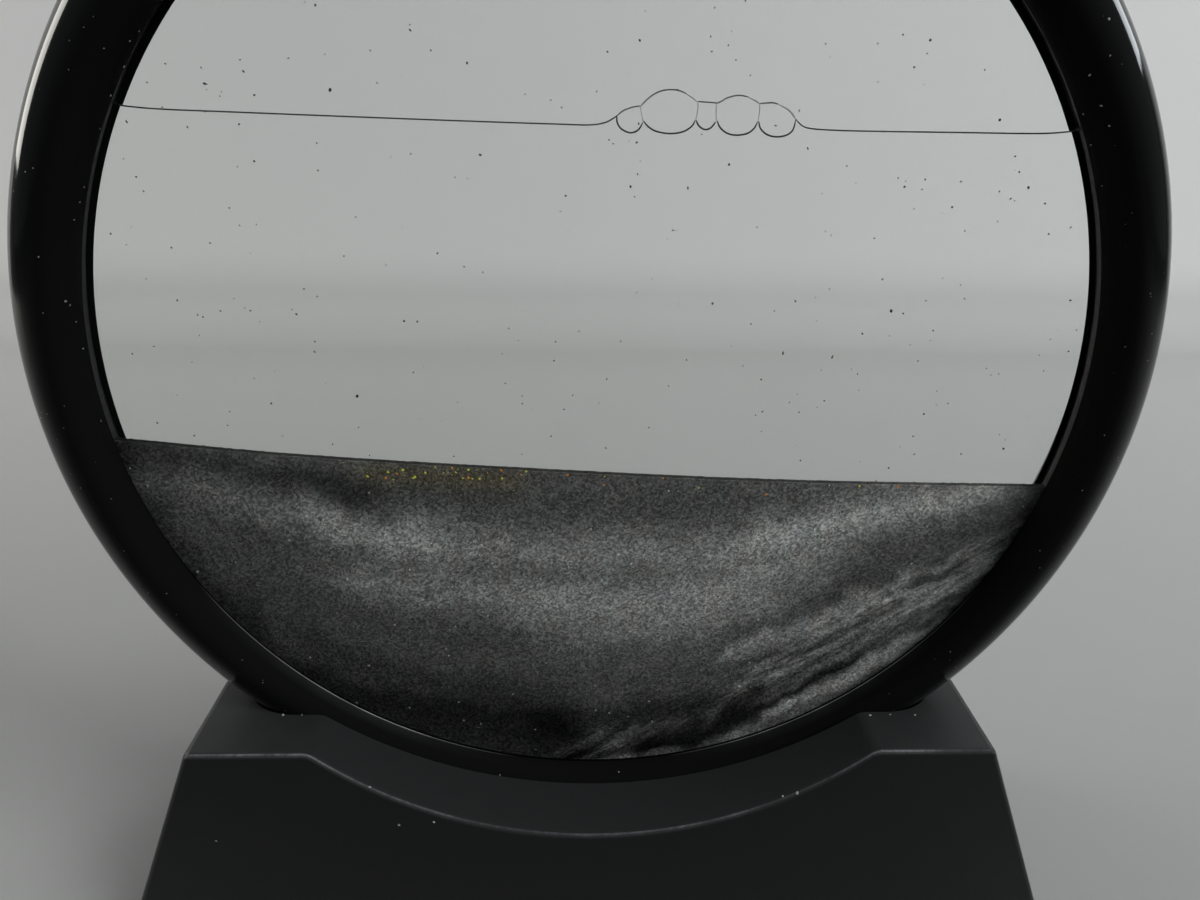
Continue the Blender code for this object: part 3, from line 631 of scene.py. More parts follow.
BUBBLE_BOTTOMS = (
    ((2.02, 40.5), (2.1, 39.64), (2.69, 38.79), (3.99, 38.29), (5.12, 38.7), (5.73, 39.7)),
    ((5.79, 39.89), (6.53, 39.11), (7.7, 38.53), (9.58, 38.26), (11.43, 38.52), (12.67, 39.27), (13.12, 40.07)),
    ((13.27, 40.07), (13.67, 39.35), (14.56, 38.87), (15.41, 39.11), (16.04, 39.91)),
    ((16.24, 40.05), (16.69, 39.2), (17.76, 38.44), (19.08, 38.19), (20.64, 38.43), (21.58, 39.13), (21.97, 40.0)),
    ((22.14, 40.07), (22.52, 39.08), (23.54, 38.32), (24.87, 38.05), (26.29, 38.29), (27.14, 39.01), (27.4, 40.4)),
)
BUBBLE_FILMS = (
    ((5.3, 41.78), (5.47, 40.87), (5.76, 39.8)),
    ((13.36, 42.45), (13.39, 41.38), (13.19, 40.05)),
    ((15.96, 42.3), (16.0, 41.16), (16.14, 39.95)),
    ((22.08, 42.3), (22.14, 41.25), (22.06, 40.0)),
)
SHINY_BUBBLES = (1, 3, 4)  # the bubbles whose top ends in a glint
POINT_GAP = 0.25  # closer points are dropped
FILM_GAP = 0.16  # from the middle of a film to the air in a bubble
WALL_CLIMB = 0.35
WALL_ENDS = (-12.95, 187.2)  # degrees, where the sand meets the wall
SAND_SOAK = 0.3  # the liquid reaches this far into the sand
SAND_CHORD = 155.2  # width of the drift between the walls
SURFACE_PAST = 0.4  # the measured surface line stops this far from the wall
WET_WALL = 0.2


def shrunk(points, middle, by):
    """A closed loop drawn in towards its middle."""
    out = []
    for x, z in points:
        run = math.hypot(x - middle[0], z - middle[1])
        share = (run - by) / run
        out.append((middle[0] + (x - middle[0]) * share, middle[1] + (z - middle[1]) * share))
    return out


def bubble_tops():
    glints = dict(zip(SHINY_BUBBLES, BUBBLE_GLINTS))
    return [[*top, *glints.get(i, ())[1:]] for i, top in enumerate(BUBBLE_TOPS)]


def bubble_loops():
    """The air in each bubble, as a closed loop."""
    loops = []
    films = [film[1:2] for film in ((), *BUBBLE_FILMS, ())]
    for left, right, top, bottom in zip(films, films[1:], bubble_tops(), BUBBLE_BOTTOMS):
        loop = [*top, *right, *reversed(bottom), *left]
        middle = (sum(p[0] for p in loop) / len(loop), sum(p[1] for p in loop) / len(loop))
        kept = [p for k, p in enumerate(loop) if math.dist(p, loop[k - 1]) > POINT_GAP]
        loops.append(smooth_loop(shrunk(kept, middle, FILM_GAP), closed=True))
    return loops


def clear_of_wall(points):
    return [p for p in points if math.hypot(*p) < FILLING_RADIUS - SURFACE_PAST]


def free_surface():
    """The liquid's outline from the left wall, over the bubbles, to the right wall."""
    line = [p for part in (*bubble_tops(), SURFACE_RIGHT) for p in part[1:]]
    kept = [SURFACE_LEFT[0]]
    for p in (*SURFACE_LEFT[1:], *line):
        if math.dist(p, kept[-1]) > POINT_GAP:
            kept.append(p)
    return smooth_loop(kept, steps=5)


# Sand

SAND_CREST = ((-77.71, -9.6), (-49.09, -12.45), (-1.19, -15.38), (34.57, -16.89), (77.71, -17.53))
CREST_FOOT = ((-78.03, -11.9), (-58.13, -16.89), (-41.79, -19.59), (0.63, -23.23), (43.77, -20.3), (77.71, -19.03))
SWEEP_FOOT = (
    (-77.0, -20.54), (-68.67, -29.34), (-35.29, -41.87), (1.03, -47.5), (19.27, -42.98), (53.53, -26.09),
    (76.52, -20.62),
)
TOE_TOP = ((-8.01, -79.22), (11.42, -74.38), (30.53, -64.31), (48.53, -52.18), (64.71, -37.59), (75.97, -25.53))
GLITTER_SPAN = (-38.0, 34.0)
GLITTER_THICKNESS = 1.5
GLITTER_RUNOUT = 2.5
SAND_HALF = 0.85
SAND_DOME = 0.25  # rounding of the drift's top, front to rear
DOME_PLACES = (-0.75, -0.4, 0.0, 0.4, 0.75)
DOME_TONE = 0.25  # of the tone on the faces
CRUMB_HEIGHT = 0.12
CRUMBS_PER_MM = 2.1
SAND_STEPS = 320
SAND_ROW = 0.5
BILLOW_SIZE = 6.0  # of the swirls between dark and pale sand
BILLOW_REACH = 1.8
BILLOW_CALM = 0.75  # less of that among the streaks
BILLOW_SEED = 53  # without one, Blender takes the swirls' places from the clock


def smooth_height(stations, x):
    """Height of the smooth curve through the stations (x, z) at x."""
    last = len(stations) - 2
    i = 0
    while i < last and x > stations[i + 1][0]:
        i += 1
    slopes = []
    for k in (i, i + 1):
        before = stations[max(k - 1, 0)]
        after = stations[min(k + 1, len(stations) - 1)]
        slopes.append((after[1] - before[1]) / (after[0] - before[0]))
    (x0, z0), (x1, z1) = stations[i], stations[i + 1]
    run = x1 - x0
    t = (x - x0) / run
    if t < 0.0 or t > 1.0:
        end = 0 if t < 0.0 else 1
        return (z0, z1)[end] + slopes[end] * (x - (x0, x1)[end])
    return (
        (2 * t**3 - 3 * t**2 + 1) * z0
        + (t**3 - 2 * t**2 + t) * slopes[0] * run
        + (3 * t**2 - 2 * t**3) * z1
        + (t**3 - t**2) * slopes[1] * run
    )


def drift(stations):
    return lambda x: smooth_height(stations, x)


def glitter_depth(x):
    half = (GLITTER_SPAN[1] - GLITTER_SPAN[0]) / 2
    share = min(abs(x - GLITTER_SPAN[0] - half) / half, 1.0)
    return GLITTER_THICKNESS * (1.0 - 0.7 * share**2)


def crest_top(x):
    beyond = max(GLITTER_SPAN[0] - x, x - GLITTER_SPAN[1], 0.0)
    return drift(SAND_CREST)(x) - max(1.0 - beyond / GLITTER_RUNOUT, 0.0) * glitter_depth(x)


SAND_GREY = 61.0  # plain sand, as a grey of 0 to 255
DARKEST_GREY = 7.0
LIGHT_AT_AXIS = 0.41  # brightness of a white sand, and how it rises with the height
LIGHT_RISE = 0.0016
SAND_BANDS = (  # line in the cell, half widths above and below it, fade past its ends, and the grey it adds
    # wide drifts
    (((-76, -15.5), (-66, -17.5), (-56, -20.5), (-48, -24), (-40, -27), (-30, -29), (-15, -30),
      (15, -31.2), (25, -29.7), (35, -25.5), (45, -22.5), (55, -20.5), (66, -19)), 4.9, 4.2, 6, 31),
    (((-46, -25), (-38, -28.7), (-30, -28.5)), 4.7, 2.8, 5, 17),
    (((30, -28.5), (40, -25.5), (50, -23), (60, -21.5), (70, -17.9)), 3, 3, 6, 21),
    (((-72, -17.9), (-64, -19.4)), 1.8, 2.2, 3, -4),
    (((-26, -31.8), (-12, -32.6), (4, -32.9), (16, -32.6)), 1.6, 1.6, 6, 4),
    (((-40, -37), (-14, -40), (0, -39.8), (12, -40.5), (22, -38.5), (36, -32.4)), 4, 5, 10, 28),
    (((-8, -47), (6, -47.8), (20, -46.5), (30, -43.5)), 7.7, 3.2, 8, 19),
    (((-6, -60), (8, -61.5), (20, -59)), 6, 9.1, 12, -12),
    (((-70, -24), (-62, -31), (-52, -36)), 11, 6, 9, -9),
    (((-62, -40.4), (-48, -42.8), (-32, -49), (-18, -50)), 6, 6, 9, -12),
    (((-52, -50.7), (-40, -56.9), (-26, -59.7), (-14, -62.9)), 4.5, 4, 9, -24),
    # painted shadow: darker sand along the lower left wall, where the ring's inner edge shades it
    (((-78, -22), (-75, -30), (-69, -41.2), (-62, -48)), 5.9, 12, 3, -26),
    (((-54, -58), (-42, -64), (-28, -66.5), (-14, -69.5), (-6, -73.4)), 4, 18.2, 8, -43),
    (((-6, -68.5), (4, -69), (13, -67), (21, -65.7)), 3.6, 3.9, 5, -28),
    (((-78, -11.5), (-66, -13.5), (-42, -18.3)), 2.5, 5.1, 6, -32),
    (((-30, -18.7), (-14, -20.7), (2, -21.5), (18, -20.9)), 2.2, 2.6, 9, -6),
    # the dark wedge and the streaks along the lower right wall
    (((76, -21.5), (65.3, -27), (58.7, -33.4), (52, -35), (45.3, -38.5), (41.3, -42), (34.7, -46),
      (27, -47.1)), 3.2, 2.2, 3, -8),
    (((49, -36.5), (45, -38.5), (42, -41.5)), 1.9, 1, 4, -7),
    (((75.5, -24.6), (70.7, -27), (66.7, -31), (61.3, -34.3)), 0.7, 0.7, 2, 19),
    (((56, -36), (52, -39.5), (48.7, -40.4), (45.3, -42), (41.3, -45.2), (26, -51.8)), 1.2, 2.7, 2.5, 30),
    (((65, -34), (57, -38)), 0.8, 1.2, 2, -16),
    (((72, -29.8), (65.3, -35.1), (62.7, -36.8), (58.7, -38.9), (55.3, -39.6), (52, -41.4),
      (44.7, -46.7), (42, -47.9)), 0.7, 1.4, 2, 27),
    (((56, -41.4), (53, -43.2)), 0.9, 0.9, 1.2, 13),
    (((52, -43.2), (48, -46.8), (44.7, -48.8), (40, -52.9), (34.7, -53.2), (30, -54.5)), 0.7, 0.9, 3, -19),
    (((73, -31.4), (55.3, -44), (50.7, -46.8), (40, -54.8), (35.3, -58)), 0.8, 1.5, 3, 23),
    (((35.3, -53.7), (32, -56.3), (30, -59.3), (27.3, -62), (25.3, -64.8), (23.3, -68)), 1, 1, 2, 15),
    (((71.5, -34.2), (61, -41.7)), 0.8, 0.6, 2.5, 31),
    (((64.7, -40.8), (57.3, -46.3), (54, -49.1), (50.7, -51.4)), 0.5, 0.7, 2.5, -17),
    (((65.3, -42), (58, -46.2), (54, -50.4)), 0.5, 0.5, 2, 10),
    (((50, -48.4), (42, -55), (33, -61.4)), 0.8, 0.6, 3, -18),
    (((50, -51.1), (46, -54.6), (41, -58.4), (36, -63), (32, -65)), 0.6, 0.6, 2, 14),
    (((67.3, -42.7), (55.3, -50.2), (49.3, -55), (38, -62.8), (34.7, -65.9)), 1, 0.7, 2, -26),
    (((49, -55.2), (44.7, -57.5), (37, -62.8)), 2.4, 1.1, 2, -24),
    (((32, -66.5), (28, -68.5), (24, -71.5), (18, -74.2), (11, -75.6)), 2.8, 3.5, 3, -45),
    (((31, -62.1), (27, -65.6)), 1.6, 1.6, 2, -17),
    # the pale toe and the streaks at its end
    (((64, -46.8), (54, -54.1), (49, -58.4), (44, -61.9), (38.7, -64.9), (34, -68.3), (30, -71.6)), 1.7, 2.2, 1.5, 40),
    (((46.7, -62.1), (42.7, -63.5), (35.3, -69.2), (32, -70.9)), 0.6, 0.6, 2, -20),
    (((53, -59.1), (35.3, -69), (22, -74.2), (15.3, -75.9), (2, -77.4)), 1.1, 2.5, 2, -11),
    (((2, -79.6), (10, -78.2), (18, -76.1), (26, -73.6)), 0.9, 1.6, 3, 22),
    (((-6.7, -77.7), (-2.7, -75.4), (0, -73.2), (1.7, -72.3)), 0.7, 0.9, 1.5, 13),
    (((-4, -78.7), (-0.7, -76.8), (5.3, -72)), 0.8, 0.5, 2, -23),
    (((-2.7, -81.7), (2, -78.6), (8.7, -74.8), (15.3, -72.2), (18.7, -71.2), (21.3, -69.3)), 1.1, 1.3, 1.5, -11),
)
STREAK_ZONE = (((-6, -79), (8, -73), (28, -62), (40, -54), (56, -42), (76, -27.5)), 5, 5, 5)
GOLD_ZONE = (((-37, -15.2), (-27, -15.9), (-15, -16.6)), 1.8, 2.4, 3.5)


def band_share(x, z, line, above, below, fade):
    """How much of a band there is at each place: 1 on its line, fading across it and past its ends."""
    at, height = np.array(sorted(line), dtype=float).T
    slope = np.diff(height) / np.diff(at)
    off = z - np.interp(x, at, height)
    off = off - np.minimum(x - at[0], 0.0) * slope[0] - np.maximum(x - at[-1], 0.0) * slope[-1]
    off = off / np.hypot(1.0, np.interp(x, (at[1:] + at[:-1]) / 2, slope))
    past = np.maximum(np.maximum(at[0] - x, x - at[-1]), 0.0)
    return np.exp(-((off / np.where(off > 0.0, above, below)) ** 2) - (past / fade) ** 2)


def sand_tone(x, z):
    """Mean reflectance of the sand at each place in the cell, with a painted shadow along the lower left wall, for
    light that fades towards the foot.
    """
    level = np.full(len(x), SAND_GREY)
    for *shape, gain in SAND_BANDS:
        level += gain * band_share(x, z, *shape)
    return to_linear(np.maximum(level, DARKEST_GREY)) / (LIGHT_AT_AXIS + LIGHT_RISE * z)


def to_linear(level):
    share = level / 255.0
    return np.where(share < 0.04045, share / 12.92, ((share + 0.055) / 1.055) ** 2.4)


def layer_mesh(name, bottom, top, dome=0.0):
    """A layer of sand between two height curves and the cell's wall, with its tone at each point."""
    edge = FILLING_RADIUS * 0.9995
    columns = []
    for i in range(SAND_STEPS + 1):
        x = -edge * math.cos(math.pi * i / SAND_STEPS)
        wall = math.sqrt(max(FILLING_RADIUS**2 - x**2, 0.0))
        high = min(top(x), wall)
        low = max(bottom(x), -wall) if bottom else -wall
        if high > low:
            columns.append((x, low, high))
    rows = max(1, math.ceil(max(high - low for _, low, high in columns) / SAND_ROW))
    places = []
    for x, low, high in columns:
        crumb = CRUMB_HEIGHT * noise.noise(Vector((x * CRUMBS_PER_MM, 3.0, 0.0))) if dome else 0.0
        face = [low + (high + crumb - low) * k / rows for k in range(rows + 1)]
        places += [(x, -SAND_HALF, z) for z in face]
        if dome:
            places += [(x, y * SAND_HALF, face[-1] + dome * (1.0 - y * y)) for y in DOME_PLACES]
        places += [(x, SAND_HALF, z) for z in reversed(face)]
    x, y, z = np.array(places).T
    streaks = band_share(x, z, *STREAK_ZONE)
    drawn = np.array([noise.turbulence_vector(Vector((a, 0.0, b)) / BILLOW_SIZE, 3, False) for a, _, b in places])
    drawn *= (BILLOW_REACH * (1.0 - BILLOW_CALM * streaks))[:, None]
    tone = sand_tone(x + drawn[:, 0], z + drawn[:, 2]) * np.where(np.abs(y) < SAND_HALF * 0.9, DOME_TONE, 1.0)
    marks = {"tone": tone, "streaks": streaks, "gold": band_share(x, z, *GOLD_ZONE)}
    count = len(places) // len(columns)
    faces = row_faces(range(0, len(places), count), count)
    faces += [range(count), range(len(places) - count, len(places))]
    bm = bmesh.new()
    layers = {key: bm.verts.layers.float.new(key) for key in marks}
    made = [bm.verts.new(in_cell(*place)) for place in places]
    for key, layer in layers.items():
        for v, value in zip(made, marks[key]):
            v[layer] = value
    for face in faces:
        bm.faces.new([made[i] for i in face])
    bmesh.ops.remove_doubles(bm, verts=bm.verts, dist=WELD)
    bmesh.ops.dissolve_degenerate(bm, edges=bm.edges, dist=WELD)
    return finished(bm, name, 50.0)


def build_sand():
    noise.seed_set(BILLOW_SEED)
    look = sand_look()
    top = drift(SAND_CREST)
    foot, sweep, toe = drift(CREST_FOOT), drift(SWEEP_FOOT), drift(TOE_TOP)

    def glitter_top(x):
        inside = GLITTER_SPAN[0] - GLITTER_RUNOUT < x < GLITTER_SPAN[1] + GLITTER_RUNOUT
        return top(x) if inside else crest_top(x) - 1.0

    for name, low, high, dome, slot in (
        ("glitter_layer", crest_top, glitter_top, SAND_DOME, "glitter_sand"),
        ("dark_crest_layer", foot, crest_top, SAND_DOME, "dark_sand"),
        ("grey_sweep_layer", sweep, foot, 0.0, "grey_sand"),
        ("dark_bed_layer", toe, sweep, 0.0, "dark_sand"),
        ("pale_toe_layer", None, toe, 0.0, "pale_sand"),
    ):
        add_piece(f"{name}_fine", layer_mesh(name, low, high, dome), look, "contents", (name,))


def build_liquid():
    """The liquid between the glasses, with the bubbles as holes, and dull where it wets the wall."""
    look = clear_look("clear_liquid", (0.998, 1.0, 0.998), 1.333)
    surface = clear_of_wall(free_surface())
    half = GLASS_INNER_FACE - 0.01
    top = drift(SAND_CREST)
    left, right = (
        (side * math.sqrt(FILLING_RADIUS**2 - (end[1] + WALL_CLIMB) ** 2), end[1] + WALL_CLIMB)
        for side, end in ((-1.0, surface[0]), (1.0, surface[-1]))
    )
    down = arc((0.0, 0.0), FILLING_RADIUS, math.degrees(math.atan2(right[1], right[0])), WALL_ENDS[0], 40)[1:]
    up = arc((0.0, 0.0), FILLING_RADIUS, WALL_ENDS[1], math.degrees(math.atan2(left[1], left[0])), 40)[:-1]
    across = [down[-1][0] - SAND_CHORD * i / 80 for i in range(81)]
    sand = [(x, top(x) - SAND_SOAK) for x in across if x * x + (top(x) - SAND_SOAK) ** 2 < FILLING_RADIUS**2]
    outline = [left, *surface, right, *down, *sand, *up]
    mesh = plate_mesh("liquid_fine", [outline, *bubble_loops()], -half, half, lift=AXIS_HEIGHT)
    mesh.materials.append(look)
    mesh.materials.append(plain_look("wet_wall", (0.004, 0.004, 0.004), 0.6))
    for face in mesh.polygons:
        x, _, z = face.center - in_cell(0.0, 0.0, 0.0)
        face.material_index = int(abs(face.normal.y) < 0.5 and math.hypot(x, z) > (FILLING_RADIUS - WET_WALL) * MM)
    piece = add_piece("liquid_fine", mesh, look, "contents", ("liquid",))
    piece.visible_shadow = False


def thread(points, radius, ends=0.5):
    """A path for tube_mesh, thinner at its ends."""
    line = smooth_loop(points)
    count = len(line) - 1
    out = []
    for i, (x, z) in enumerate(line):
        taper = min(1.0, ends + (1.0 - ends) * min(i, count - i) / max(count * 0.12, 1.0))
        out.append((x, 0.0, z, radius * taper))
    return out


def build_meniscus():
    """Threads that paint how the liquid's surface and the bubbles' walls show: dark lines of painted shade along the
    surface and the bubbles' bottoms, lighter grey ones on the tops, pale ones for the films between bubbles, and white
    painted highlights for the glints.
    """
    lines = [thread(clear_of_wall(side), 0.1, 0.8) for side in (SURFACE_LEFT, SURFACE_RIGHT)]
    lines += [thread(path, 0.12) for path in BUBBLE_BOTTOMS]
    tops = [thread(path, 0.1) for path in BUBBLE_TOPS]
    glints = [thread(path, 0.13, 0.3) for path in BUBBLE_GLINTS]
    films = [thread(path, 0.08) for path in BUBBLE_FILMS]
    # painted shade and painted highlights: these threads stand for the dark and bright lines that the curved liquid
    # surfaces make
    for name, paths, *look in (
        ("surface_line", lines, "meniscus_dark", (0.05, 0.052, 0.052), 0.3),
        ("bubble_tops", tops, "meniscus_soft", (0.16, 0.165, 0.165), 0.3),
        ("bubble_glints", glints, "meniscus_bright", (0.9, 0.92, 0.92), 0.15),
        ("bubble_films", films, "meniscus_pale", (0.5, 0.51, 0.51), 0.2),
    ):
        add_piece(name, tube_mesh(name, paths), plain_look(*look), "contents")


# Flakes and dust

GOLD_FLAKES = (
    (-35.0, -15.1), (-32.5, -14.7), (-28.8, -15.2), (-30.6, -16.0), (-34.2, -16.5), (-38.5, -15.9), (-23.7, -15.1),
    (-21.6, -14.6), (-22.6, -16.2), (-21.0, -16.3), (-19.8, -16.3), (-16.0, -16.2), (-11.9, -14.9), (1.3, -15.8),
    (-27.1, -14.1), (-30.9, -16.2), (74.4, -21.3), (17.4, -17.9), (45.0, -17.4),
)
COPPER_FLAKES = (
    (-33.5, -15.4), (-35.5, -16.2), (-24.3, -14.3), (-21.7, -16.1), (-18.4, -15.2), (-16.1, -14.7), (-12.8, -15.5),
    (-5.0, -15.5), (1.2, -17.4), (11.2, -16.1), (29.1, -19.1), (51.7, -17.5),
)
BRIGHT_GRAINS = (
    (-11.4, -45.8), (-25.6, -46.6), (-25.6, -37.9), (-19.6, -44.3), (-13.7, -49.4), (12.3, -18.5), (13.9, -18.5),
    (39.8, -17.3),
)
RING_DUST = (  # in the whole object, as are the places below
    (-60.5, -4.1, 155.8), (-61.6, -4.8, 154.6), (-63.7, -3.5, 151.6), (-66.1, -3.8, 148.1), (-68.6, -3.7, 143.9),
    (-72.3, -4.2, 136.3), (-73.1, -4.6, 134.3), (-74.2, -5.2, 132.0), (64.7, -7.7, 159.1), (65.9, -8.0, 154.9),
    (64.5, -6.9, 152.6), (67.1, -6.9, 148.9), (68.8, -7.1, 146.4), (66.4, -4.4, 147.8), (68.7, -4.2, 143.8),
    (71.5, -4.7, 138.4), (5.1, -5.7, 27.4), (-18.1, -7.1, 28.3), (-77.7, -6.2, 120.6), (-77.5, -5.7, 119.9),
    (-77.7, -5.0, 117.2), (-78.1, -4.4, 112.9), (-78.3, -4.4, 101.1),
)
BASE_DUST = (
    (-56.9, -8.3, 44.7), (-53.5, -8.3, 44.7), (51.2, -9.1, 44.7), (55.0, -9.0, 44.7), (59.6, -9.1, 44.7),
    (33.8, -18.5, 34.7), (36.2, -18.7, 35.7), (-67.4, -20.2, 26.8), (-34.8, -19.8, 29.9), (-28.6, -19.8, 30.5),
    (-39.5, -18.4, 37.6),
)
GLASS_DUST = (  # right of the axis and above the table
    (-60.1, 117.5), (-38.3, 104.9), (44.9, 119.4), (12.4, 137.1), (28.9, 112.5), (35.0, 140.4), (52.2, 153.1),
    (-18.4, 152.8), (-48.6, 152.7), (-48.4, 151.3), (-53.8, 149.7), (-47.4, 148.4), (-50.1, 144.7), (-48.8, 139.9),
    (-65.3, 144.8), (55.7, 146.8), (44.0, 156.6), (-25.7, 156.6), (-37.1, 149.2), (4.8, 155.9), (-60.1, 146.7),
    (-65.6, 137.6),
)
GLASS_DUST_AT = -2.7
GLASS_DUST_REACH = 76.0
FLAKES = (  # name, places in the cell, colour, number of finer ones, size
    ("gold_flakes", GOLD_FLAKES, (0.74, 0.78, 0.08), 30, 0.42),
    ("copper_flakes", COPPER_FLAKES, (0.78, 0.3, 0.03), 20, 0.42),
    ("bright_grains", BRIGHT_GRAINS, (0.72, 0.74, 0.72), 0, 0.25),
)
FINE_FLAKES_AT = (-28.0, 7.0)  # middle and width of their spread along the drift
FINE_FLAKES_BELOW = (0.2, 3.6)
FINE_FLAKE_SIZES = (0.1, 0.18)
FINE_RING_DUST = 90
FINE_GLASS_DUST = 480
FORWARD = Vector((0.0, -1.0, 0.0))


def build_flakes():
    rng = random.Random(7)
    top = drift(SAND_CREST)
    for name, places, color, more, size in FLAKES:
        found = [(in_cell(x, -SAND_HALF, z), FORWARD, size) for x, z in places]
        for _ in range(more):
            x = rng.gauss(*FINE_FLAKES_AT)
            place = in_cell(x, -SAND_HALF, top(x) - rng.uniform(*FINE_FLAKES_BELOW))
            found.append((place, FORWARD, rng.uniform(*FINE_FLAKE_SIZES)))
        look = plain_look(name, color, 0.4, 0.1, 0.002)
        add_piece(name, specks_mesh(name, found, 11, 0.15), look, "contents")


def settled(piece, places, low, high, rng):
    """The places moved onto the surface of a piece, with the way out of it and a size for each."""
    found = []
    for place in places:
        _, point, out, _ = piece.closest_point_on_mesh(Vector(place) * MM)
        found.append((point, out, rng.uniform(low, high)))
    return found


def build_dust():
    rng = random.Random(23)
    ring, shell = (bpy.data.objects[name] for name in ("front_frame_fine", "base_shell_fine"))
    fine = []
    for _ in range(FINE_RING_DUST):
        turn = math.radians(rng.choice((-1, 1)) * rng.uniform(25.0, 150.0))
        reach = rng.uniform(FRONT_WINDOW_RADIUS, RING_RADIUS - 2.0)
        fine.append((reach * math.sin(turn), -FRAME_HALF_DEPTH, AXIS_HEIGHT + reach * math.cos(turn)))
    on_ring = settled(ring, RING_DUST, 0.2, 0.38, rng) + settled(ring, fine, 0.1, 0.2, rng)
    on_glass = [(Vector((x, GLASS_DUST_AT, z)) * MM, FORWARD, rng.uniform(0.3, 0.5)) for x, z in GLASS_DUST]
    for _ in range(FINE_GLASS_DUST):
        turn, reach = rng.uniform(0.0, math.tau), GLASS_DUST_REACH * math.sqrt(rng.random())
        place = in_cell(reach * math.sin(turn), GLASS_DUST_AT, reach * math.cos(turn))
        on_glass.append((place, FORWARD, rng.uniform(0.16, 0.36)))
    pale = plain_look("pale_dust", (0.3, 0.3, 0.28), 0.9, 0.2, 0.005)
    dark = plain_look("dark_dust", (0.05, 0.05, 0.05), 0.9, 0.2, 0.005)
    add_piece("ring_dust", specks_mesh("ring_dust", on_ring, 3), pale, "ring")
    add_piece("glass_dust", specks_mesh("glass_dust", on_glass, 4), dark, "ring")
    on_base = settled(shell, BASE_DUST, 0.35, 0.6, rng)
    add_piece("base_dust", specks_mesh("base_dust", on_base, 5), pale, "base")


# Carried-over nodes


def dress_nodes():
    """Gives the solids that stay a look each, by what their names contain."""
    looks = {
        "bottom_cover": plain_look("cover_plastic", (0.02, 0.02, 0.021), 0.6),
        "cover_screw": plain_look("screw_steel", (0.55, 0.55, 0.56), 0.35, 0.6, 0.01, Metallic=1.0),
        "foot_pad": plain_look("foot_rubber", (0.02, 0.02, 0.02), 0.8),
        "port_cap": plain_look("cap_rubber", (0.02, 0.02, 0.02), 0.7),
        "fill_plug": plain_look("plug_rubber", (0.02, 0.02, 0.02), 0.7),
        "gasket": plain_look("gasket_foam", (0.025, 0.025, 0.025), 0.9),
        "spacer_ring": plain_look("spacer_plastic", (0.004, 0.004, 0.004), 0.5),
        "edge_seal": plain_look("sealant", (0.01, 0.01, 0.01), 0.6),
        "glass": clear_look("clear_glass", (0.955, 0.962, 0.958), 1.5),
    }
    for name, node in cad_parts.items():
        for key, look in looks.items():
            if key in name:
                for i in range(len(node.data.materials)):
                    node.data.materials[i] = look
        if name.endswith("_glass"):
            node.visible_shadow = False


# Stage, light and camera

PAPER_PAINTED_TONES = (  # on the table in front, at the object and behind, then low and high on the wall; painted shade darkens the table towards the front, and painted light makes the wall paler than the table
    (0.14, 0.14, 0.14, 1.0), (0.262, 0.266, 0.262, 1.0), (0.41, 0.415, 0.408, 1.0),
    (0.79, 0.795, 0.79, 1.0), (0.72, 0.725, 0.73, 1.0),
)
PAPER_HALF_WIDTH = 4.0  # in metres, as are the next
PAPER_FRONT = -8.0
PAPER_TOP = 1.2
PAPER_BEND = 0.03
WALL_AT = 0.385


def build_stage():
    """Plain paper that runs from the table up the wall, with painted shade making it darker towards the front and
    painted light making the wall paler than the table.
    """
    look = Look("paper")
    place = look.parts(look.place())
    # painted light and shade: the table darkens towards the front, and the wall is paler than the table
    front, middle, back, low, high = PAPER_PAINTED_TONES
    table = look.mix(look.spread(place["Y"], -0.12, -0.02), front, middle)
    table = look.mix(look.spread(place["Y"], -0.02, 0.3), table, back)
    wall = look.node(
        "MapRange", {0: place["Z"], 1: -0.02, 2: 0.06, 3: 0.0, 4: 1.0}, interpolation_type="SMOOTHSTEP"
    ).outputs[0]
    upper = look.mix(look.spread(place["Z"], 0.05, 0.4), low, high)
    look.set("Base Color", look.mix(wall, table, upper))
    look.set("Roughness", look.spread(look.noise(2.0), 0.3, 0.7, 0.85, 0.95))
    profile = [(PAPER_FRONT, 0.0), (WALL_AT - PAPER_BEND, 0.0)]
    profile += arc((WALL_AT - PAPER_BEND, PAPER_BEND), PAPER_BEND, -90.0, 0.0, 10)[1:]
    profile.append((WALL_AT, PAPER_TOP))
    vertices = [(x, y, z) for y, z in profile for x in (-PAPER_HALF_WIDTH, PAPER_HALF_WIDTH)]
    faces = [(2 * i, 2 * i + 1, 2 * i + 3, 2 * i + 2) for i in range(len(profile) - 1)]
    floor = placed("studio_paper", mesh_of("studio_paper", vertices, faces, 60.0))
    floor.data.materials.append(look.material)


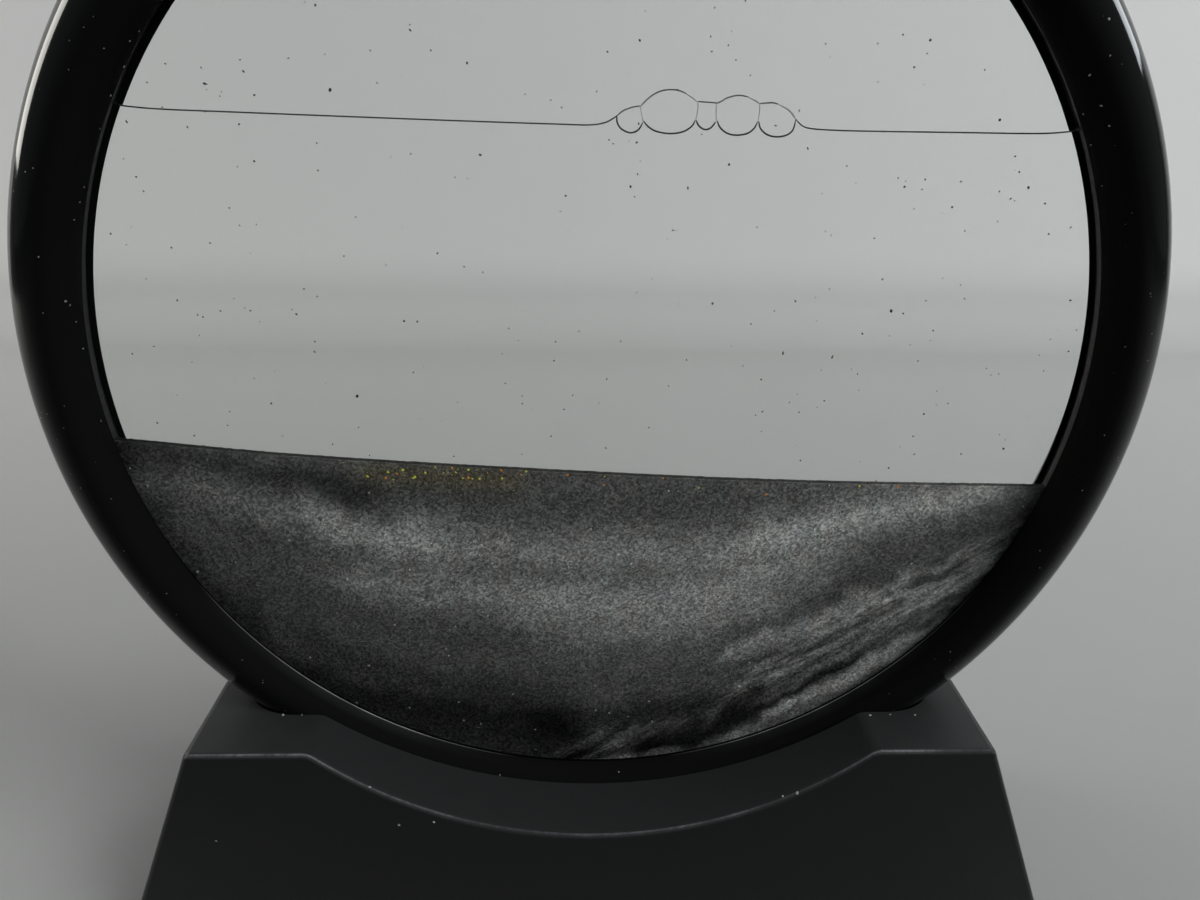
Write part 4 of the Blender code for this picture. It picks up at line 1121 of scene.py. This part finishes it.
LAMPS = (  # name, size, watts, place, target and colour, lengths in metres
    ("key", (0.5, 0.5), 9.4, (0.8, -0.38, 0.9), (0.0, 0.1, 0.1), (1.0, 1.0, 1.0)),
    ("fill", (0.5, 0.8), 3.2, (-0.9, 0.1, 0.45), (0.0, 0.0, 0.1), (1.0, 0.98, 0.93)),
    ("front", (0.6, 0.4), 2.0, (0.45, -0.7, 0.9), (0.0, 0.0, 0.06), (0.95, 0.98, 1.0)),
)
CARDS = (  # the same, of cards that show only in glossy surfaces
    ("left_card", (0.3, 0.5), 2.6, (-0.84, 0.2, 0.46), (0.0, 0.0, 0.12), (1.0, 0.98, 0.92)),
    ("right_card", (0.3, 0.44), 2.2, (0.84, 0.18, 0.62), (0.0, 0.0, 0.12), (0.9, 0.95, 1.0)),
    ("front_card", (0.8, 0.5), 0.15, (0.3, -0.9, 0.75), (0.0, 0.0, 0.06), (0.82, 0.91, 1.0)),
)
CAMERA_TURNS = (0.0171, 0.4267, -0.0309)  # roll, tilt and swing
CAMERA_PLACE = (-0.0033137, -0.12268, 0.1502301)
LENS = 24.0  # on a sensor 36 mm wide


def add_softbox(name, size, power, at, towards, color):
    light = bpy.data.lights.new(name, "AREA")
    light.shape = "RECTANGLE"
    light.size, light.size_y = size
    light.energy = power
    light.color = color
    lamp = placed(name, light)
    lamp.location = at
    lamp.rotation_euler = (Vector(towards) - Vector(at)).to_track_quat("-Z", "Y").to_euler()
    lamp.visible_transmission = False
    return lamp


def build_light():
    world = bpy.data.worlds.new("studio")
    world.use_nodes = True
    back = world.node_tree.nodes["Background"]
    back.inputs["Color"].default_value = (0.9, 0.95, 1.0, 1.0)
    back.inputs["Strength"].default_value = 0.1
    bpy.context.scene.world = world
    for lamp in LAMPS:
        add_softbox(*lamp).visible_glossy = False
    for card in CARDS:
        add_softbox(*card).visible_diffuse = False


def build_camera():
    """The photograph's camera, fitted to the frame's rims and the base's edges."""
    roll, tilt, swing = CAMERA_TURNS
    upright = Matrix(((1, 0, 0), (0, 0, -1), (0, 1, 0)))
    turn = Matrix.Rotation(roll, 3, "Z") @ Matrix.Rotation(tilt, 3, "X") @ Matrix.Rotation(swing, 3, "Y") @ upright
    data = bpy.data.cameras.new("camera")
    data.lens = LENS
    data.sensor_width = 36.0
    data.clip_start = 0.001
    camera = placed("camera", data)
    place = turn.transposed() @ Matrix.Diagonal((1, -1, -1))
    camera.matrix_world = Matrix.Translation(CAMERA_PLACE) @ place.to_4x4()
    bpy.context.scene.camera = camera


bpy.context.scene.view_settings.view_transform = "Standard"
build_camera()
build_stage()
build_light()
build_frame()
build_base()
build_liquid()
build_meniscus()
build_sand()
build_flakes()
build_dust()
dress_nodes()
